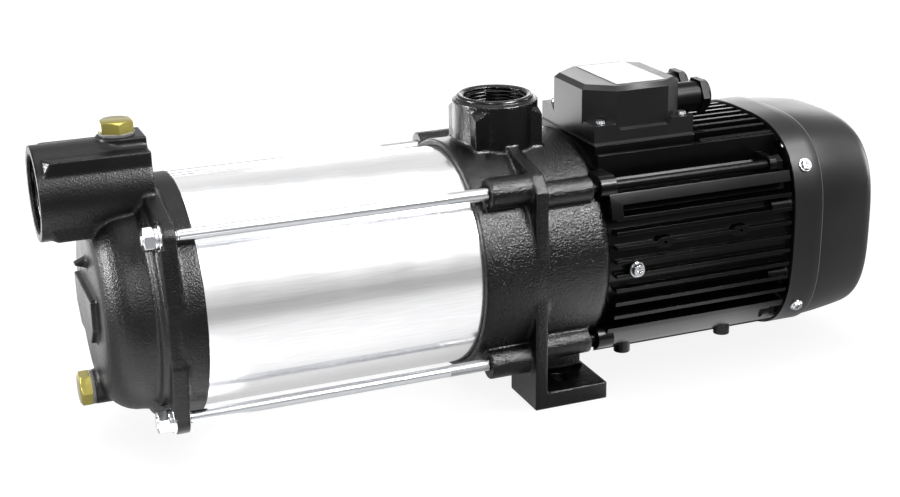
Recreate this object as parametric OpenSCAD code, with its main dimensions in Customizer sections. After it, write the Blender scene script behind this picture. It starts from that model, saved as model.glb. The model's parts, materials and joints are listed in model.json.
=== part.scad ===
// Horizontal multistage pump: a cast iron suction casing, a stainless steel barrel with five
// stages in it, a cast iron discharge bracket on two feet, and a finned, fan-cooled motor.
// X runs along the shaft from the suction end to the motor, Z is up. The origin is the centre
// of the foot bolts on the base plane.

/* [Shaft line] */
// Height of the shaft above the base plane
shaft_height = 90; // [88:1:110]
// Pump end diameter of the shaft, under the impellers and the seal
pump_shaft_d = 16; // [14:0.5:17]
// Diameter of the shaft in the rotor core
rotor_shaft_d = 30; // [28:1:36]
// Diameter of the shaft under the fan
fan_shaft_d = 17; // [14:0.5:18]
// Radial clearance of parts that slide onto the shaft
slide_fit = 0.02; // [0.01:0.01:0.05]

/* [Barrel and tie rods] */
// Outside diameter of the barrel
barrel_od = 144; // [140:1:148]
// Wall of the barrel
barrel_wall = 1.5; // [1:0.1:2]
// Radial play of the barrel in its two grooves
barrel_play = 0.15; // [0.1:0.05:0.3]
// Depth of the barrel in each socket
socket_depth = 8; // [6:0.5:10]
// Thickness of the flat ring seals under the barrel's ends
barrel_seal_t = 1.5; // [1:0.1:2.5]
// Diameter of the tie rods at their threads
rod_d = 8; // [7.5:0.1:9]
// Diameter of the tie rods between their threads
rod_shank_d = 7.2; // [6.5:0.1:7.4]
// Gap between the barrel and the tie rods
rod_gap = 7.8; // [7:0.2:10]
// Angle of the tie rods above and below the shaft's plane
rod_angle = 43.3; // [40:0.5:46]
// Width across the flats of the tie rod nuts
rod_nut_af = 13; // [12:0.5:15]
// Height of the tie rod nuts
rod_nut_h = 6.5; // [6:0.1:8]
// Outside diameter of the flat tie rod washers
rod_washer_d = 16; // [15.5:0.5:17]
// Thickness of the flat tie rod washers
rod_washer_t = 1.6; // [1:0.1:2]
// Outside diameter of the tie rods' spring washers
spring_washer_d = 13.6; // [13:0.1:15]
// Thickness of the tie rods' spring washers
spring_washer_t = 2.2; // [1.5:0.1:3]

/* [Stages] */
// Length of one stage along the shaft
stage_pitch = 36; // [35:0.5:40]
// Gap between the stage casings and the barrel's bore
stage_play = 0.4; // [0.3:0.1:0.8]
// Wall of the stage casings
stage_wall = 2; // [1.5:0.1:3]
// Thickness of the inlet plate
inlet_plate_t = 3; // [2:0.5:5]
// Diameter of the impellers
impeller_d = 116; // [100:1:120]
// Diameter of the eye in the inlet plate and the stage casings
eye_d = 48; // [44:1:52]
// Gap between an impeller's neck and the eye
eye_gap = 0.4; // [0.3:0.1:0.8]
// Width of the impeller blades along the shaft
blade_w = 8.5; // [6:0.5:9]
// Thickness of the blades and vanes
blade_t = 1.8; // [1.2:0.1:2.5]
// Number of blades in an impeller
blade_n = 6; // [5:1:8]
// Number of return vanes in a stage casing
vane_n = 7; // [5:1:9]
// Diameter of the impeller hubs and spacers
hub_d = 25; // [23:0.5:27]
// Width across the flats of the impeller nut
shaft_nut_af = 22; // [19:1:24]
// Width of the impeller key
key_w = 5; // [4:0.5:6]

/* [Suction casing] */
// Distance from the socket's face to the face of the dome
dome_len = 56; // [55:0.5:62]
// Radius of the dome's side
dome_r = 68; // [66:0.5:70]
// Rounding of the dome's edge
dome_round = 22; // [18:1:26]
// Wall of the castings
cast_wall = 7; // [6:0.5:8]
// Width across the flats of the suction flange
flange_w = 151; // [148:1:156]
// Thickness of the suction flange
flange_t = 8; // [6:0.5:10]
// Height of the suction port's axis above the shaft
suction_rise = 74.6; // [73:0.2:80]
// Distance from the dome's face to the suction port's mouth
suction_reach = 26.4; // [22:0.1:30]
// Outside diameter of the discharge port
port_od = 56; // [54:1:60]
// Outside diameter of the suction port
suction_od = 58; // [56:1:60]
// Width across the flats of the ports' four ridges
port_square = 47; // [44:0.2:50]
// Distance from a port's end to the start of its ridges
ridge_back = 4; // [3:0.5:8]
// Minor diameter of the suction thread, G 1 1/2
suction_thread_d = 44.84; // [40:0.1:46]
// Minor diameter of the discharge thread, G 1 1/4
discharge_thread_d = 38.95; // [36:0.1:40]
// Length of the port threads
port_thread_len = 20; // [16:0.5:22]

/* [Plugs] */
// Diameter of the plugs' threaded stems
plug_stem_d = 15; // [13:0.1:16]
// Radial clearance of the plugs' stems
plug_fit = 0.05; // [0.02:0.01:0.1]
// Length of the plugs' stems below the washer
plug_stem_len = 9; // [7:0.5:9.5]
// Width across the flats of the plugs' heads
plug_af = 19; // [17:1:22]
// Height of the plugs' heads
plug_head_h = 7; // [6:0.5:10]
// Thickness of the plugs' washers
plug_washer_t = 2; // [1.5:0.1:3]
// Distance from the flange to the priming plug's axis
priming_back = 15.5; // [14:0.5:20]
// Height of the drain plug's axis below the shaft
drain_drop = 54; // [52:0.5:56]

/* [Discharge bracket] */
// Length of the barrel socket, from its face to the front of the plate
socket_len = 34.5; // [32:0.5:40]
// Wall of the castings' rings round the barrel
socket_wall = 4.4; // [3.5:0.1:6]
// Thickness of the bracket's transverse plate
plate_t = 8.5; // [7:0.5:9]
// Radius of the motor side drum
drum_r = 76; // [74:0.5:78]
// Distance from the foot bolts back to the front of the plate
plate_back = 26.5; // [24:0.5:28]
// Distance from the foot bolts to the motor housing's front
motor_face = 28; // [27:0.5:32]
// Height of the discharge port's mouth above the shaft
discharge_rise = 105; // [102:0.5:108]
// Radius of the tie rod bosses
boss_r = 9.75; // [9:0.25:11]
// Radius of the motor bolt bosses
motor_boss_r = 8.5; // [8:0.1:9.5]
// Distance between the outer faces of the two feet
foot_width = 150; // [146:1:156]
// Distance between the inner faces of the two feet
foot_gap = 70; // [64:1:76]
// Length of each foot along the shaft
foot_len = 50; // [46:1:56]
// Thickness of the feet
foot_t = 11.5; // [9:0.5:14]
// Distance between the two foot bolt slots
foot_bolt_w = 110; // [106:1:116]
// Width of the foot bolt slots
foot_slot_w = 9; // [8:0.5:11]
// Length of the foot bolt slots
foot_slot_len = 14; // [12:0.5:18]

/* [Motor] */
// Space for the winding heads at each end of the stator core
winding_space = 24.2; // [23:0.1:28]
// Bore of the motor housing, the stator's outside diameter
stator_od = 132; // [130:1:134]
// Wall of the motor housing
housing_wall = 4; // [3:0.5:4.5]
// Width across the housing's fins
housing_w = 149; // [148:0.5:152]
// Exponent of the rounded square that the housing, flange and cowl follow
square_power = 3.05; // [2.9:0.05:3.2]
// Thickness of the cooling fins
fin_t = 2.4; // [2:0.1:3]
// Pitch of the cooling fins
fin_pitch = 9.7; // [9:0.1:10]
// Length of the stator core
core_len = 86; // [70:1:88]
// Bore of the stator core
stator_id = 77; // [74:0.5:80]
// Radial air gap between rotor and stator
air_gap = 0.35; // [0.3:0.05:0.5]
// Number of stator slots
slot_n = 24; // [24:6:36]
// Diameter of the motor's through bolts
motor_bolt_d = 6; // [5:0.5:7]
// Distance of the through bolts from the shaft
motor_bolt_r = 80; // [79:0.1:81]
// Angle of the through bolts above and below the shaft's plane
motor_bolt_angle = 40.4; // [39.6:0.2:41]

/* [Bearings] */
// Bore of the front bearing
front_brg_id = 25; // [24:1:26]
// Outside diameter of the front bearing
front_brg_od = 52; // [50:1:52]
// Width of the front bearing
front_brg_w = 15; // [14:0.5:15]
// Bore of the rear bearing
rear_brg_id = 20; // [19:1:22]
// Outside diameter of the rear bearing
rear_brg_od = 47; // [45:1:48]
// Width of the rear bearing
rear_brg_w = 14; // [12:0.5:14]

/* [Cowl and fan] */
// Distance that the cowl's front band stands out over the fins on each side
cowl_over = 1; // [0.5:0.1:2]
// Length of the cowl
cowl_len = 68.5; // [66:0.5:76]
// Length of the cowl's front band
cowl_band = 22; // [18:0.5:24]
// Wall of the cowl
cowl_wall = 2.5; // [2:0.1:3]
// Diameter of the cooling fan
fan_d = 128; // [110:1:132]
// Width of the fan's blades
fan_blade_w = 18; // [14:0.5:19]
// Number of the fan's blades
fan_blade_n = 9; // [6:1:12]

/* [Terminal box] */
// Distance from the housing's front to the terminal box
box_back = 2.7; // [2:0.1:5]
// Length of the terminal box
box_len = 73.3; // [70:0.5:78]
// Width of the terminal box's skirt
skirt_w = 79; // [76:0.5:82]
// Width of the terminal box's upper cover
cover_w = 70; // [66:0.5:71]
// Distance from the skirt's rear end to the upper cover's
cover_back = 4; // [3:0.5:6]
// Height of the terminal box's seat above the ring of the motor housing
pedestal_wall = 2.7; // [2.5:0.1:4]
// Thickness of the terminal box's gasket
gasket_t = 1.5; // [1:0.1:3]
// Height of the skirt between its corner pads
skirt_h = 7.3; // [6:0.1:9]
// Height of the skirt's corner pads
pad_h = 11.4; // [10:0.1:13]
// Height of the whole terminal cover
cover_h = 35; // [34:0.5:40]
// Chamfer round the top of the terminal cover
cover_chamfer = 3; // [2:0.5:4]
// Wall of the terminal cover
cover_wall = 2.5; // [2:0.1:3]
// Distance between the two cable glands
gland_gap = 29; // [28:0.5:32]
// Height of the glands above the bottom of the cover
gland_rise = 17.8; // [16:0.2:19]
// Outside diameter of the gland bodies
gland_d = 19.6; // [18:0.2:21]
// Length of the gland bodies outside the box
gland_len = 19.3; // [17:0.1:24]
// Width across the flats of the gland nuts
gland_af = 22; // [21:0.5:23]
// Length of the gland nuts
gland_nut_len = 6.8; // [6:0.2:9]
// Bore of the gland seals, for the cable
cable_bore = 9; // [6:0.5:10]

/* [Hidden] */
$fn = 64;
// Overshoot of a cut past a face
e = 0.5;

// Barrel and its sockets
barrel_r = barrel_od / 2;
barrel_in_r = barrel_r - barrel_wall;
socket_r = barrel_r + socket_wall;
groove_out_r = barrel_r + barrel_play;
groove_in_r = barrel_in_r - barrel_play;
spigot_in_r = groove_in_r - 8;
plate_x = -plate_back;
plate_end_x = plate_x + plate_t;
bracket_face_x = plate_x - socket_len;
barrel_end_x = bracket_face_x + socket_depth;
stack_end_x = bracket_face_x + 1;
stage_count = 5;
stage_x = stack_end_x - stage_count * stage_pitch;
inlet_x = stage_x - inlet_plate_t;
// The suction casing's inner spigot ends this far behind its socket's face
suction_spigot_back = 6;
suction_face_x = inlet_x + suction_spigot_back;
barrel_x = suction_face_x - socket_depth;

// Tie rods
rod_r = rod_d / 2;
rod_pitch_r = barrel_r + rod_gap + rod_r;
rod_y = rod_pitch_r * cos(rod_angle);
rod_z = rod_pitch_r * sin(rod_angle);
rod_boss_x = plate_x - 27.9;
rod_in_boss = 20;
rod_hole_play = 0.3;
washer_gap = 0.05;
core_gap = 0.02;
// Length of the thread that shows at the front of the tie rods and before the bosses
front_thread = 22;
rear_thread = 30;

// Suction casing
socket_ring = 15.5;
flange_end_x = suction_face_x - socket_ring;
flange_x = flange_end_x - flange_t;
dome_x = suction_face_x - dome_len;
suction_mouth_x = dome_x - suction_reach;
suction_z = shaft_height + suction_rise;
port_r = port_od / 2;
suction_out_r = suction_od / 2;
thread_chamfer = 2.6;
suction_r = suction_thread_d / 2;
discharge_r = discharge_thread_d / 2;
ear_face_x = flange_x + 2;
ear_r = 9;
ear_end_x = flange_end_x + 2;
rod_nut_end_x = ear_face_x - rod_washer_t - spring_washer_t;
rod_nut_x = rod_nut_end_x - rod_nut_h;
drain_z = shaft_height - drain_drop;
drain_boss_x = dome_x - 3;
plug_r = plug_stem_d / 2;
plug_hole_r = plug_r + plug_fit;
plug_washer_r = plug_hole_r + 3.2;
priming_x = flange_end_x - priming_back;
priming_top_z = suction_z + suction_out_r + 1.8;
boss_pad_r = 12.5;
passage_r = 16;
passage_x = dome_x + 3 + passage_r;

// Discharge bracket
discharge_x = plate_x + plate_t / 2;
discharge_z = shaft_height + discharge_rise;
lip_h = 3;
lip_r = port_r - 3.1;
lip_round = 1.6;
ridge_slope = 0.8;
wet_wall_x = -6;
wet_wall_t = 7;
wet_wall_end_x = wet_wall_x + wet_wall_t;
wet_r = groove_in_r - 8;
seal_face_x = -12;
seal_pocket_r = 17.5;
seal_pocket_end_x = -3;
shaft_hole_gap = 1.2;
brg_hub_x = 8;
front_brg_x = 10;
front_brg_r = front_brg_od / 2;
brg_hub_wall = 6;
register_r = stator_od / 2 - 0.1;
register_len = 6;
foot_y = foot_width / 2;
foot_in_y = foot_gap / 2;
leg_t = 6;

// Motor
core_x = motor_face + winding_space;
core_end_x = core_x + core_len;
housing_end_x = core_end_x + winding_space;
stator_r = stator_od / 2;
housing_r = stator_r + housing_wall;
rotor_r = stator_id / 2 - air_gap;
bolt_y = motor_bolt_r * cos(motor_bolt_angle);
bolt_z = motor_bolt_r * sin(motor_bolt_angle);
bolt_r = motor_bolt_d / 2;
motor_boss_end_x = motor_face - 11.5;
rear_brg_x = housing_end_x - 4;
rear_brg_r = rear_brg_od / 2;
shield_t = 6;
shield_hub_end_x = rear_brg_x + rear_brg_w + 2.5;
fin_start_x = motor_face + 3;
panel_y = 47;
panel_t = 5;
ledge_z = 42;
ledge_h = 6;
strip_z = 62.5;
bolt_lug_x = motor_face - 6;
bolt_lug_end_x = motor_face + 5;
rear_lug_x = housing_end_x - 14;
rear_lug_end_x = housing_end_x - 9;
lug_r = 7.5;
rear_lug_r = 5.5;
bolt_head_h = 4.5;
bolt_head_r = 6.6;
shield_screw_r = housing_w / 2 - 3.6;
shield_screw_angle = 20;
shield_screw_d = 4.2;
shield_lug_r = 4.6;
lug_web_t = 5;
shield_screw_in = 10;
shield_boss_len = 14;
bolt_web_t = 8;
cowl_lug_w = 9;
cowl_lug_in = 26;
cowl_arm_angle = 34.4;
cowl_screw_len = 11;
flinger_lip = 7;
board_back = 26;
earth_screw_d = 4;

// Shaft steps
nut_len = 10;
shaft_nut_x = stage_x + 1;
shaft_x = shaft_nut_x - nut_len + 1;
shaft_r = pump_shaft_d / 2;
seat_x = wet_wall_end_x + 1;
front_seat_r = front_brg_id / 2;
rear_seat_r = rear_brg_id / 2;
rotor_shaft_r = rotor_shaft_d / 2;
fan_shaft_r = fan_shaft_d / 2;
rear_seat_end_x = rear_brg_x + rear_brg_w;
fan_x = rear_seat_end_x + 12;
fan_hub_len = 20;
shaft_end_x = fan_x + fan_hub_len + 5;

// Stage parts, measured from a stage's own front face
hub_r = hub_d / 2;
eye_r = eye_d / 2;
neck_r = eye_r - eye_gap;
neck_t = 2;
shroud_x = 1.5;
shroud_t = 1.5;
blade_x = shroud_x + shroud_t;
back_x = blade_x + blade_w;
hub_x = 1;
hub_end_x = 17;
return_x = hub_end_x - 1.5;
return_t = 1.5;
return_r = impeller_d / 2 + 2;
stage_r = barrel_in_r - stage_play;
hub_gap = 0.7;

// Mechanical seal
seal_head_r = 15;
seal_head_len = 12;
seal_head_x = seal_face_x - seal_head_len;
seal_spring_len = 13;
seal_spring_x = seal_head_x - seal_spring_len;
seal_spring_r = 11.5;
seal_wire_r = 1;
seal_end_gap = 0.1;
seal_boot_t = 2.5;

// Cowl and terminal box
cowl_x = housing_end_x + 2;
cowl_w = housing_w + 2 * cowl_over;
cowl_end_x = cowl_x + cowl_len;
cowl_step = 1;
cowl_screw_angle = 36.4;
cowl_screw_x = cowl_x + 10;
cowl_screw_d = 4;
grille_r = 52;
fan_r = fan_d / 2;
box_x = motor_face + box_back;
box_end_x = box_x + box_len;
cover_end_x = box_end_x - cover_back;
pedestal_z = shaft_height + housing_r + pedestal_wall;
cover_z = pedestal_z + gasket_t;
pad_len = 19;
gland_z = cover_z + gland_rise;
gland_r = gland_d / 2;
gland_x = cover_end_x;
cover_screw_d = 4;
cover_screw_inset_x = 7.3;
cover_screw_inset_y = 6.4;

// Points of an arc round c from angle a0 to a1
function arc(c, r, a0, a1, n = 8) =
    [for (i = [0:n]) let (a = a0 + (a1 - a0) * i / n) c + r * [cos(a), sin(a)]];

// Rounded square with straight half width a, as a superellipse
function squircle(a, power = square_power, n = 12) =
    [for (i = [0:4 * n - 1]) let (t = 90 * i / n, c = cos(t), s = sin(t))
        a * [sign(c) * pow(abs(c), 2 / power), sign(s) * pow(abs(s), 2 / power)]];

// Distance from the middle of the rounded square to its side at angle t
function squircle_reach(a, t, power = square_power) =
    a / pow(pow(cos(t), power) + pow(sin(t), power), 1 / power);

// A child whose z axis lies along the shaft's direction
module along_x(x, y = 0, z = shaft_height) {
    translate([x, y, z]) rotate([0, 90, 0]) children();
}

module rod_x(x0, x1, r, y = 0, z = shaft_height) {
    along_x(x0, y, z) cylinder(r = r, h = x1 - x0);
}

// A tube on the shaft's axis from x0 to x1
module ring_x(x0, x1, r_out, r_in) {
    difference() {
        rod_x(x0, x1, r_out);
        rod_x(x0 - e, x1 + e, r_in);
    }
}

// A body turned round the shaft's axis from points of [radius, x]
module turned(points) {
    along_x(0) rotate_extrude($fn = 96) polygon(points);
}

// A prism along X from points of [y, z above the shaft]
module prism_x(x0, x1, points) {
    translate([x0, 0, shaft_height]) rotate([90, 0, 90])
        linear_extrude(x1 - x0) polygon(points);
}

module block(x0, x1, y0, y1, z0, z1) {
    translate([x0, y0, z0]) cube([x1 - x0, y1 - y0, z1 - z0]);
}

module both_sides() {
    children();
    mirror([0, 1, 0]) children();
}

module at_rods() {
    for (sy = [-1, 1], sz = [-1, 1])
        translate([0, sy * rod_y, shaft_height + sz * rod_z]) children();
}

module at_motor_bolts() {
    for (sy = [-1, 1], sz = [-1, 1])
        translate([0, sy * bolt_y, shaft_height + sz * bolt_z]) children();
}

// A rod along X from x0 to x1 at the child's own place
module bar(x0, x1, r, sides = 32) {
    translate([x0, 0, 0]) rotate([0, 90, 0]) cylinder(r = r, h = x1 - x0, $fn = sides);
}

module hexagon(x0, x1, af) {
    bar(x0, x1, af / 2 / cos(30), 6);
}

// A curved blade between two radii, standing on the plane z = 0
module blade(r0, r1, sweep, thick, high, n = 8) {
    points = [for (i = [0:n]) let (f = i / n, r = r0 + (r1 - r0) * f, a = sweep * pow(f, 0.8))
        [r * cos(a), r * sin(a), a]];
    outer = [for (p = points) [p[0], p[1]] + thick / 2 * [-sin(p[2] + 60), cos(p[2] + 60)]];
    inner = [for (i = [n:-1:0]) let (p = points[i])
        [p[0], p[1]] - thick / 2 * [-sin(p[2] + 60), cos(p[2] + 60)]];
    linear_extrude(high) polygon(concat(outer, inner));
}

// Round body of a port along z, with four square ridges that end in slants below its end
module port_body(len, r = port_r) {
    square_w = port_square + 2 * (r - port_r);
    ridge_end = len - ridge_back;
    corner_r = square_w * 0.72;
    drop = (corner_r - r) * ridge_slope;
    cylinder(r = r, h = len);
    intersection() {
        translate([-square_w / 2, -square_w / 2, 0]) cube([square_w, square_w, ridge_end]);
        union() {
            cylinder(r = corner_r, h = ridge_end - drop + 0.01);
            translate([0, 0, ridge_end - drop])
                cylinder(r1 = corner_r, r2 = r - 0.5 / ridge_slope, h = drop + 0.5);
        }
    }
}

module suction_casing() {
    wall_in_r = dome_r - cast_wall;
    round_in = dome_round - 4;
    color([0.09, 0.09, 0.10])
    difference() {
        union() {
            turned(concat([[0, dome_x]],
                arc([dome_r - dome_round, dome_x + dome_round], dome_round, -90, 0),
                [[dome_r + 2, flange_x + e], [socket_r, flange_end_x - e],
                 [socket_r, suction_face_x], [0, suction_face_x]]));
            prism_x(flange_x, flange_end_x, squircle(flange_w / 2, 2.75, 16));
            // Bead round the flange's front face
            along_x(flange_x + e) rotate_extrude($fn = 96)
                translate([flange_w / 2 - 6, 0]) circle(r = 5, $fn = 24);
            at_rods() bar(ear_face_x, ear_end_x, ear_r);
            ear_sides();
            suction_port_outside();
            drain_boss();
            nose_pads();
            ear_gussets();
        }
        at_rods() {
            bar(flange_x - 12, ear_face_x, rod_washer_d / 2 + 1.5);
            bar(ear_face_x - e, ear_end_x + e, rod_r + rod_hole_play);
        }
        // Chamber behind the dome, and the seat of the stage stack
        turned(concat([[0, dome_x + cast_wall]],
            arc([wall_in_r - round_in, dome_x + cast_wall + round_in], round_in, -90, 0),
            [[spigot_in_r, flange_end_x], [spigot_in_r, inlet_x],
             [0, inlet_x]]));
        rod_x(inlet_x, suction_face_x + e, groove_out_r);
        ring_x(barrel_x - barrel_seal_t, inlet_x + e, groove_out_r, groove_in_r);
        suction_port_inside();
        rod_x(drain_boss_x - e, dome_x + cast_wall + dome_round, plug_hole_r, 0, drain_z);
    }
}

module suction_port_outside() {
    along_x(flange_end_x, 0, suction_z) mirror([0, 0, 1])
        port_body(flange_end_x - suction_mouth_x, suction_out_r);
    translate([priming_x, 0, suction_z]) cylinder(r = boss_pad_r, h = priming_top_z - suction_z);
    block(priming_x, flange_end_x, -boss_pad_r, boss_pad_r, suction_z, priming_top_z);
}

module suction_port_inside() {
    thread_x = suction_mouth_x + thread_chamfer;
    along_x(suction_mouth_x - 0.01, 0, suction_z)
        cylinder(r1 = suction_r + thread_chamfer, r2 = suction_r, h = thread_chamfer + 0.02);
    rod_x(thread_x, thread_x + port_thread_len, suction_r, 0, suction_z);
    rod_x(thread_x, flange_end_x - cast_wall, suction_r - 1.5, 0, suction_z);
    translate([passage_x, 0, shaft_height + 20]) cylinder(r = passage_r, h = suction_rise - 20);
    translate([priming_x, 0, suction_z]) cylinder(r = plug_hole_r, h = priming_top_z);
}

module drain_boss() {
    rod_x(drain_boss_x, dome_x + dome_round, 11, 0, drain_z);
}

// Straight sides that run from the ears into the flange
module ear_sides() {
    far = flange_w / 2 - 0.3;
    both_sides() for (s = [-1, 1])
        prism_x(flange_x, ear_end_x, [[rod_y - ear_r, s * 20], [far, s * 20],
            [rod_y + ear_r * 0.98, s * rod_z], [rod_y, s * (rod_z + ear_r * 0.98)],
            [20, s * far], [20, s * (rod_z - ear_r)]]);
}

// Plain raised pad and a small wedge on the nose of the dome
module nose_pads() {
    pad_w = 30;
    pad_cut = 12;
    prism_x(dome_x - 4, dome_x + 8,
        [[-pad_w, 13], [pad_w, 13], [pad_w, -6], [pad_w - pad_cut, -18],
         [pad_cut - pad_w, -18], [-pad_w, -6]]);
    translate([dome_x, 0, shaft_height + 28]) rotate([90, 0, 0])
        linear_extrude(8, center = true) polygon([[-8.5, 0], [6, 6], [6, -5]]);
}

// Webs between the dome and the two lower ears
module ear_gussets() {
    web_t = 6;
    inner = 30;
    outer = 22;
    both_sides() translate([0, 0, shaft_height]) rotate([rod_angle, 0, 0])
        translate([0, -rod_pitch_r, 0]) mirror([0, 0, 1]) linear_extrude(web_t, center = true)
        polygon([[flange_x + e, 0], [flange_x + e, inner], [dome_x + dome_round, inner],
                 [dome_x + dome_round, outer], [flange_x - 3, 4]]);
}

module front_barrel_seal() {
    color([0.12, 0.12, 0.12])
    ring_x(barrel_x - barrel_seal_t, barrel_x, groove_out_r, groove_in_r);
}

module rear_barrel_seal() {
    color([0.12, 0.12, 0.12])
    ring_x(barrel_end_x, barrel_end_x + barrel_seal_t, groove_out_r, groove_in_r);
}

module barrel() {
    color([0.80, 0.81, 0.82])
    ring_x(barrel_x, barrel_end_x, barrel_r, barrel_in_r);
}

module tie_rods() {
    x0 = rod_nut_x - 0.8;
    color([0.78, 0.79, 0.80])
    at_rods() {
        bar(x0, x0 + front_thread, rod_r);
        bar(x0 + front_thread - e, rod_boss_x - rear_thread + e, rod_shank_d / 2);
        bar(rod_boss_x - rear_thread, rod_boss_x + rod_in_boss, rod_r);
    }
}

// Hexagonal nuts with both ends turned to a cone
module tie_rod_nuts() {
    corner_r = rod_nut_af / 2 / cos(30);
    cone = 0.9;
    color([0.80, 0.81, 0.82])
    at_rods() difference() {
        intersection() {
            hexagon(rod_nut_x, rod_nut_end_x, rod_nut_af);
            translate([rod_nut_x, 0, 0]) rotate([0, 90, 0]) rotate_extrude()
                polygon([[0, 0], [rod_nut_af / 2 - 0.2, 0], [corner_r + 0.3, cone],
                         [corner_r + 0.3, rod_nut_h - cone], [rod_nut_af / 2 - 0.2, rod_nut_h],
                         [0, rod_nut_h]]);
        }
        bar(rod_nut_x - e, rod_nut_end_x + e, rod_r);
    }
}

// A flat washer on each ear, and a spring washer between it and the nut
module tie_rod_washers() {
    color([0.76, 0.77, 0.78])
    at_rods() difference() {
        union() {
            bar(ear_face_x - rod_washer_t, ear_face_x, rod_washer_d / 2);
            bar(rod_nut_end_x + washer_gap, ear_face_x - rod_washer_t - washer_gap,
                spring_washer_d / 2);
        }
        bar(rod_nut_x, ear_face_x + e, rod_r + rod_hole_play);
    }
}

// A plug that stands on the plane z = 0 with its stem below it
module plug() {
    plug_cone = 1.4;
    translate([0, 0, -plug_stem_len]) cylinder(r = plug_r, h = plug_stem_len + plug_washer_t);
    translate([0, 0, plug_washer_t]) intersection() {
        rotate([0, 0, 30]) cylinder(r = plug_af / 2 / cos(30), h = plug_head_h, $fn = 6);
        union() {
            cylinder(r = plug_af, h = plug_head_h - plug_cone);
            translate([0, 0, plug_head_h - plug_cone])
                cylinder(r1 = plug_af / 2 + 1.8, r2 = plug_af / 2 - 0.6, h = plug_cone);
        }
    }
}

module plug_washer() {
    difference() {
        cylinder(r = plug_washer_r, h = plug_washer_t);
        translate([0, 0, -e]) cylinder(r = plug_r, h = plug_washer_t + 2 * e);
    }
}

module priming_place() {
    translate([priming_x, 0, priming_top_z]) children();
}

module drain_place() {
    translate([drain_boss_x, 0, drain_z]) rotate([0, -90, 0]) children();
}

module priming_plug() {
    color([0.80, 0.62, 0.24]) priming_place() plug();
}

module priming_washer() {
    color([0.88, 0.88, 0.86]) priming_place() plug_washer();
}

module drain_plug() {
    color([0.80, 0.62, 0.24]) drain_place() plug();
}

module drain_washer() {
    color([0.88, 0.88, 0.86]) drain_place() plug_washer();
}

module discharge_bracket() {
    drum_round = 8;
    color([0.09, 0.09, 0.10])
    difference() {
        union() {
            turned(concat([[0, bracket_face_x], [socket_r, bracket_face_x],
                [socket_r, plate_x + 1], [drum_r, plate_end_x - 1]],
                arc([drum_r - drum_round, motor_face - drum_round], drum_round, 0, 90),
                [[register_r, motor_face], [register_r, motor_face + register_len],
                 [0, motor_face + register_len]]));
            bracket_plate();
            at_rods() bar(rod_boss_x, plate_end_x, boss_r);
            at_motor_bolts() bar(plate_x + 1, motor_boss_end_x, motor_boss_r);
            translate([discharge_x, 0, shaft_height + wet_r - 6])
                port_body(discharge_rise - lip_h - wet_r + 6);
            translate([discharge_x, 0, discharge_z - 2 * lip_h]) {
                cylinder(r = lip_r, h = 2 * lip_h - lip_round);
                cylinder(r = lip_r - lip_round, h = 2 * lip_h);
                translate([0, 0, 2 * lip_h - lip_round]) rotate_extrude()
                    translate([lip_r - lip_round, 0]) circle(r = lip_round, $fn = 24);
            }
            both_sides() foot();
        }
        at_rods() bar(rod_boss_x - e, rod_boss_x + rod_in_boss, rod_r);
        at_motor_bolts() bar(plate_end_x, motor_boss_end_x + e, bolt_r);
        // Groove of the barrel, seat of the stages and the pressure chamber
        ring_x(bracket_face_x - e, barrel_end_x + barrel_seal_t, groove_out_r, groove_in_r);
        rod_x(bracket_face_x - e, stack_end_x, groove_out_r);
        wet_chamber();
        discharge_inside();
        // Pocket of the mechanical seal and the hole of the shaft
        rod_x(seal_face_x - e, seal_pocket_end_x, seal_pocket_r);
        rod_x(seal_pocket_end_x - e, wet_wall_end_x + e, shaft_r + shaft_hole_gap);
        // Drip space, with its weep hole below
        turned([[0, wet_wall_end_x], [drum_r - 16, wet_wall_end_x], [drum_r - 16, brg_hub_x],
                [0, brg_hub_x]]);
        translate([(wet_wall_end_x + brg_hub_x) / 2, 0, shaft_height - drum_r - e])
            cylinder(r = 3, h = 20);
        // Bearing seat, open to the motor
        rod_x(brg_hub_x - e, front_brg_x + e, front_brg_r - 5);
        rod_x(front_brg_x, motor_face + register_len + e, front_brg_r);
        ring_x(brg_hub_x + 6, motor_face + register_len + e, register_r - 5,
            front_brg_r + brg_hub_wall);
        rod_x(front_brg_x + front_brg_w, motor_face + register_len + e, register_r - 5);
    }
}

module wet_chamber() {
    difference() {
        turned([[0, stack_end_x - e], [wet_r, stack_end_x - e], [wet_r, wet_wall_x - 6],
                [wet_r - 6, wet_wall_x], [0, wet_wall_x]]);
        rod_x(seal_face_x, wet_wall_x + e, seal_pocket_r + 5);
    }
}

module discharge_inside() {
    passage = discharge_r - 2.5;
    thread_z = discharge_z - thread_chamfer;
    translate([discharge_x, 0, shaft_height + wet_r - 12]) cylinder(r = passage,
        h = discharge_rise - wet_r + 12);
    translate([discharge_x, 0, thread_z - port_thread_len])
        cylinder(r = discharge_r, h = port_thread_len);
    translate([discharge_x, 0, thread_z - 0.01])
        cylinder(r1 = discharge_r, r2 = discharge_r + thread_chamfer - 0.5,
            h = thread_chamfer + 0.02);
}

// Transverse plate: two legs below, and two ribs that run up to the discharge port
module bracket_plate() {
    top_z = rod_z + boss_r;
    half = [[foot_y, -shaft_height], [foot_y, rod_z], [rod_y + 5, top_z], [port_r, socket_r - 1],
            [0, socket_r + 6]];
    difference() {
        both_sides() prism_x(plate_x, plate_end_x, concat([[0, -shaft_height]], half));
        block(plate_x - e, plate_end_x + e, -foot_in_y, foot_in_y, -e, shaft_height - barrel_r);
    }
}

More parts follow.
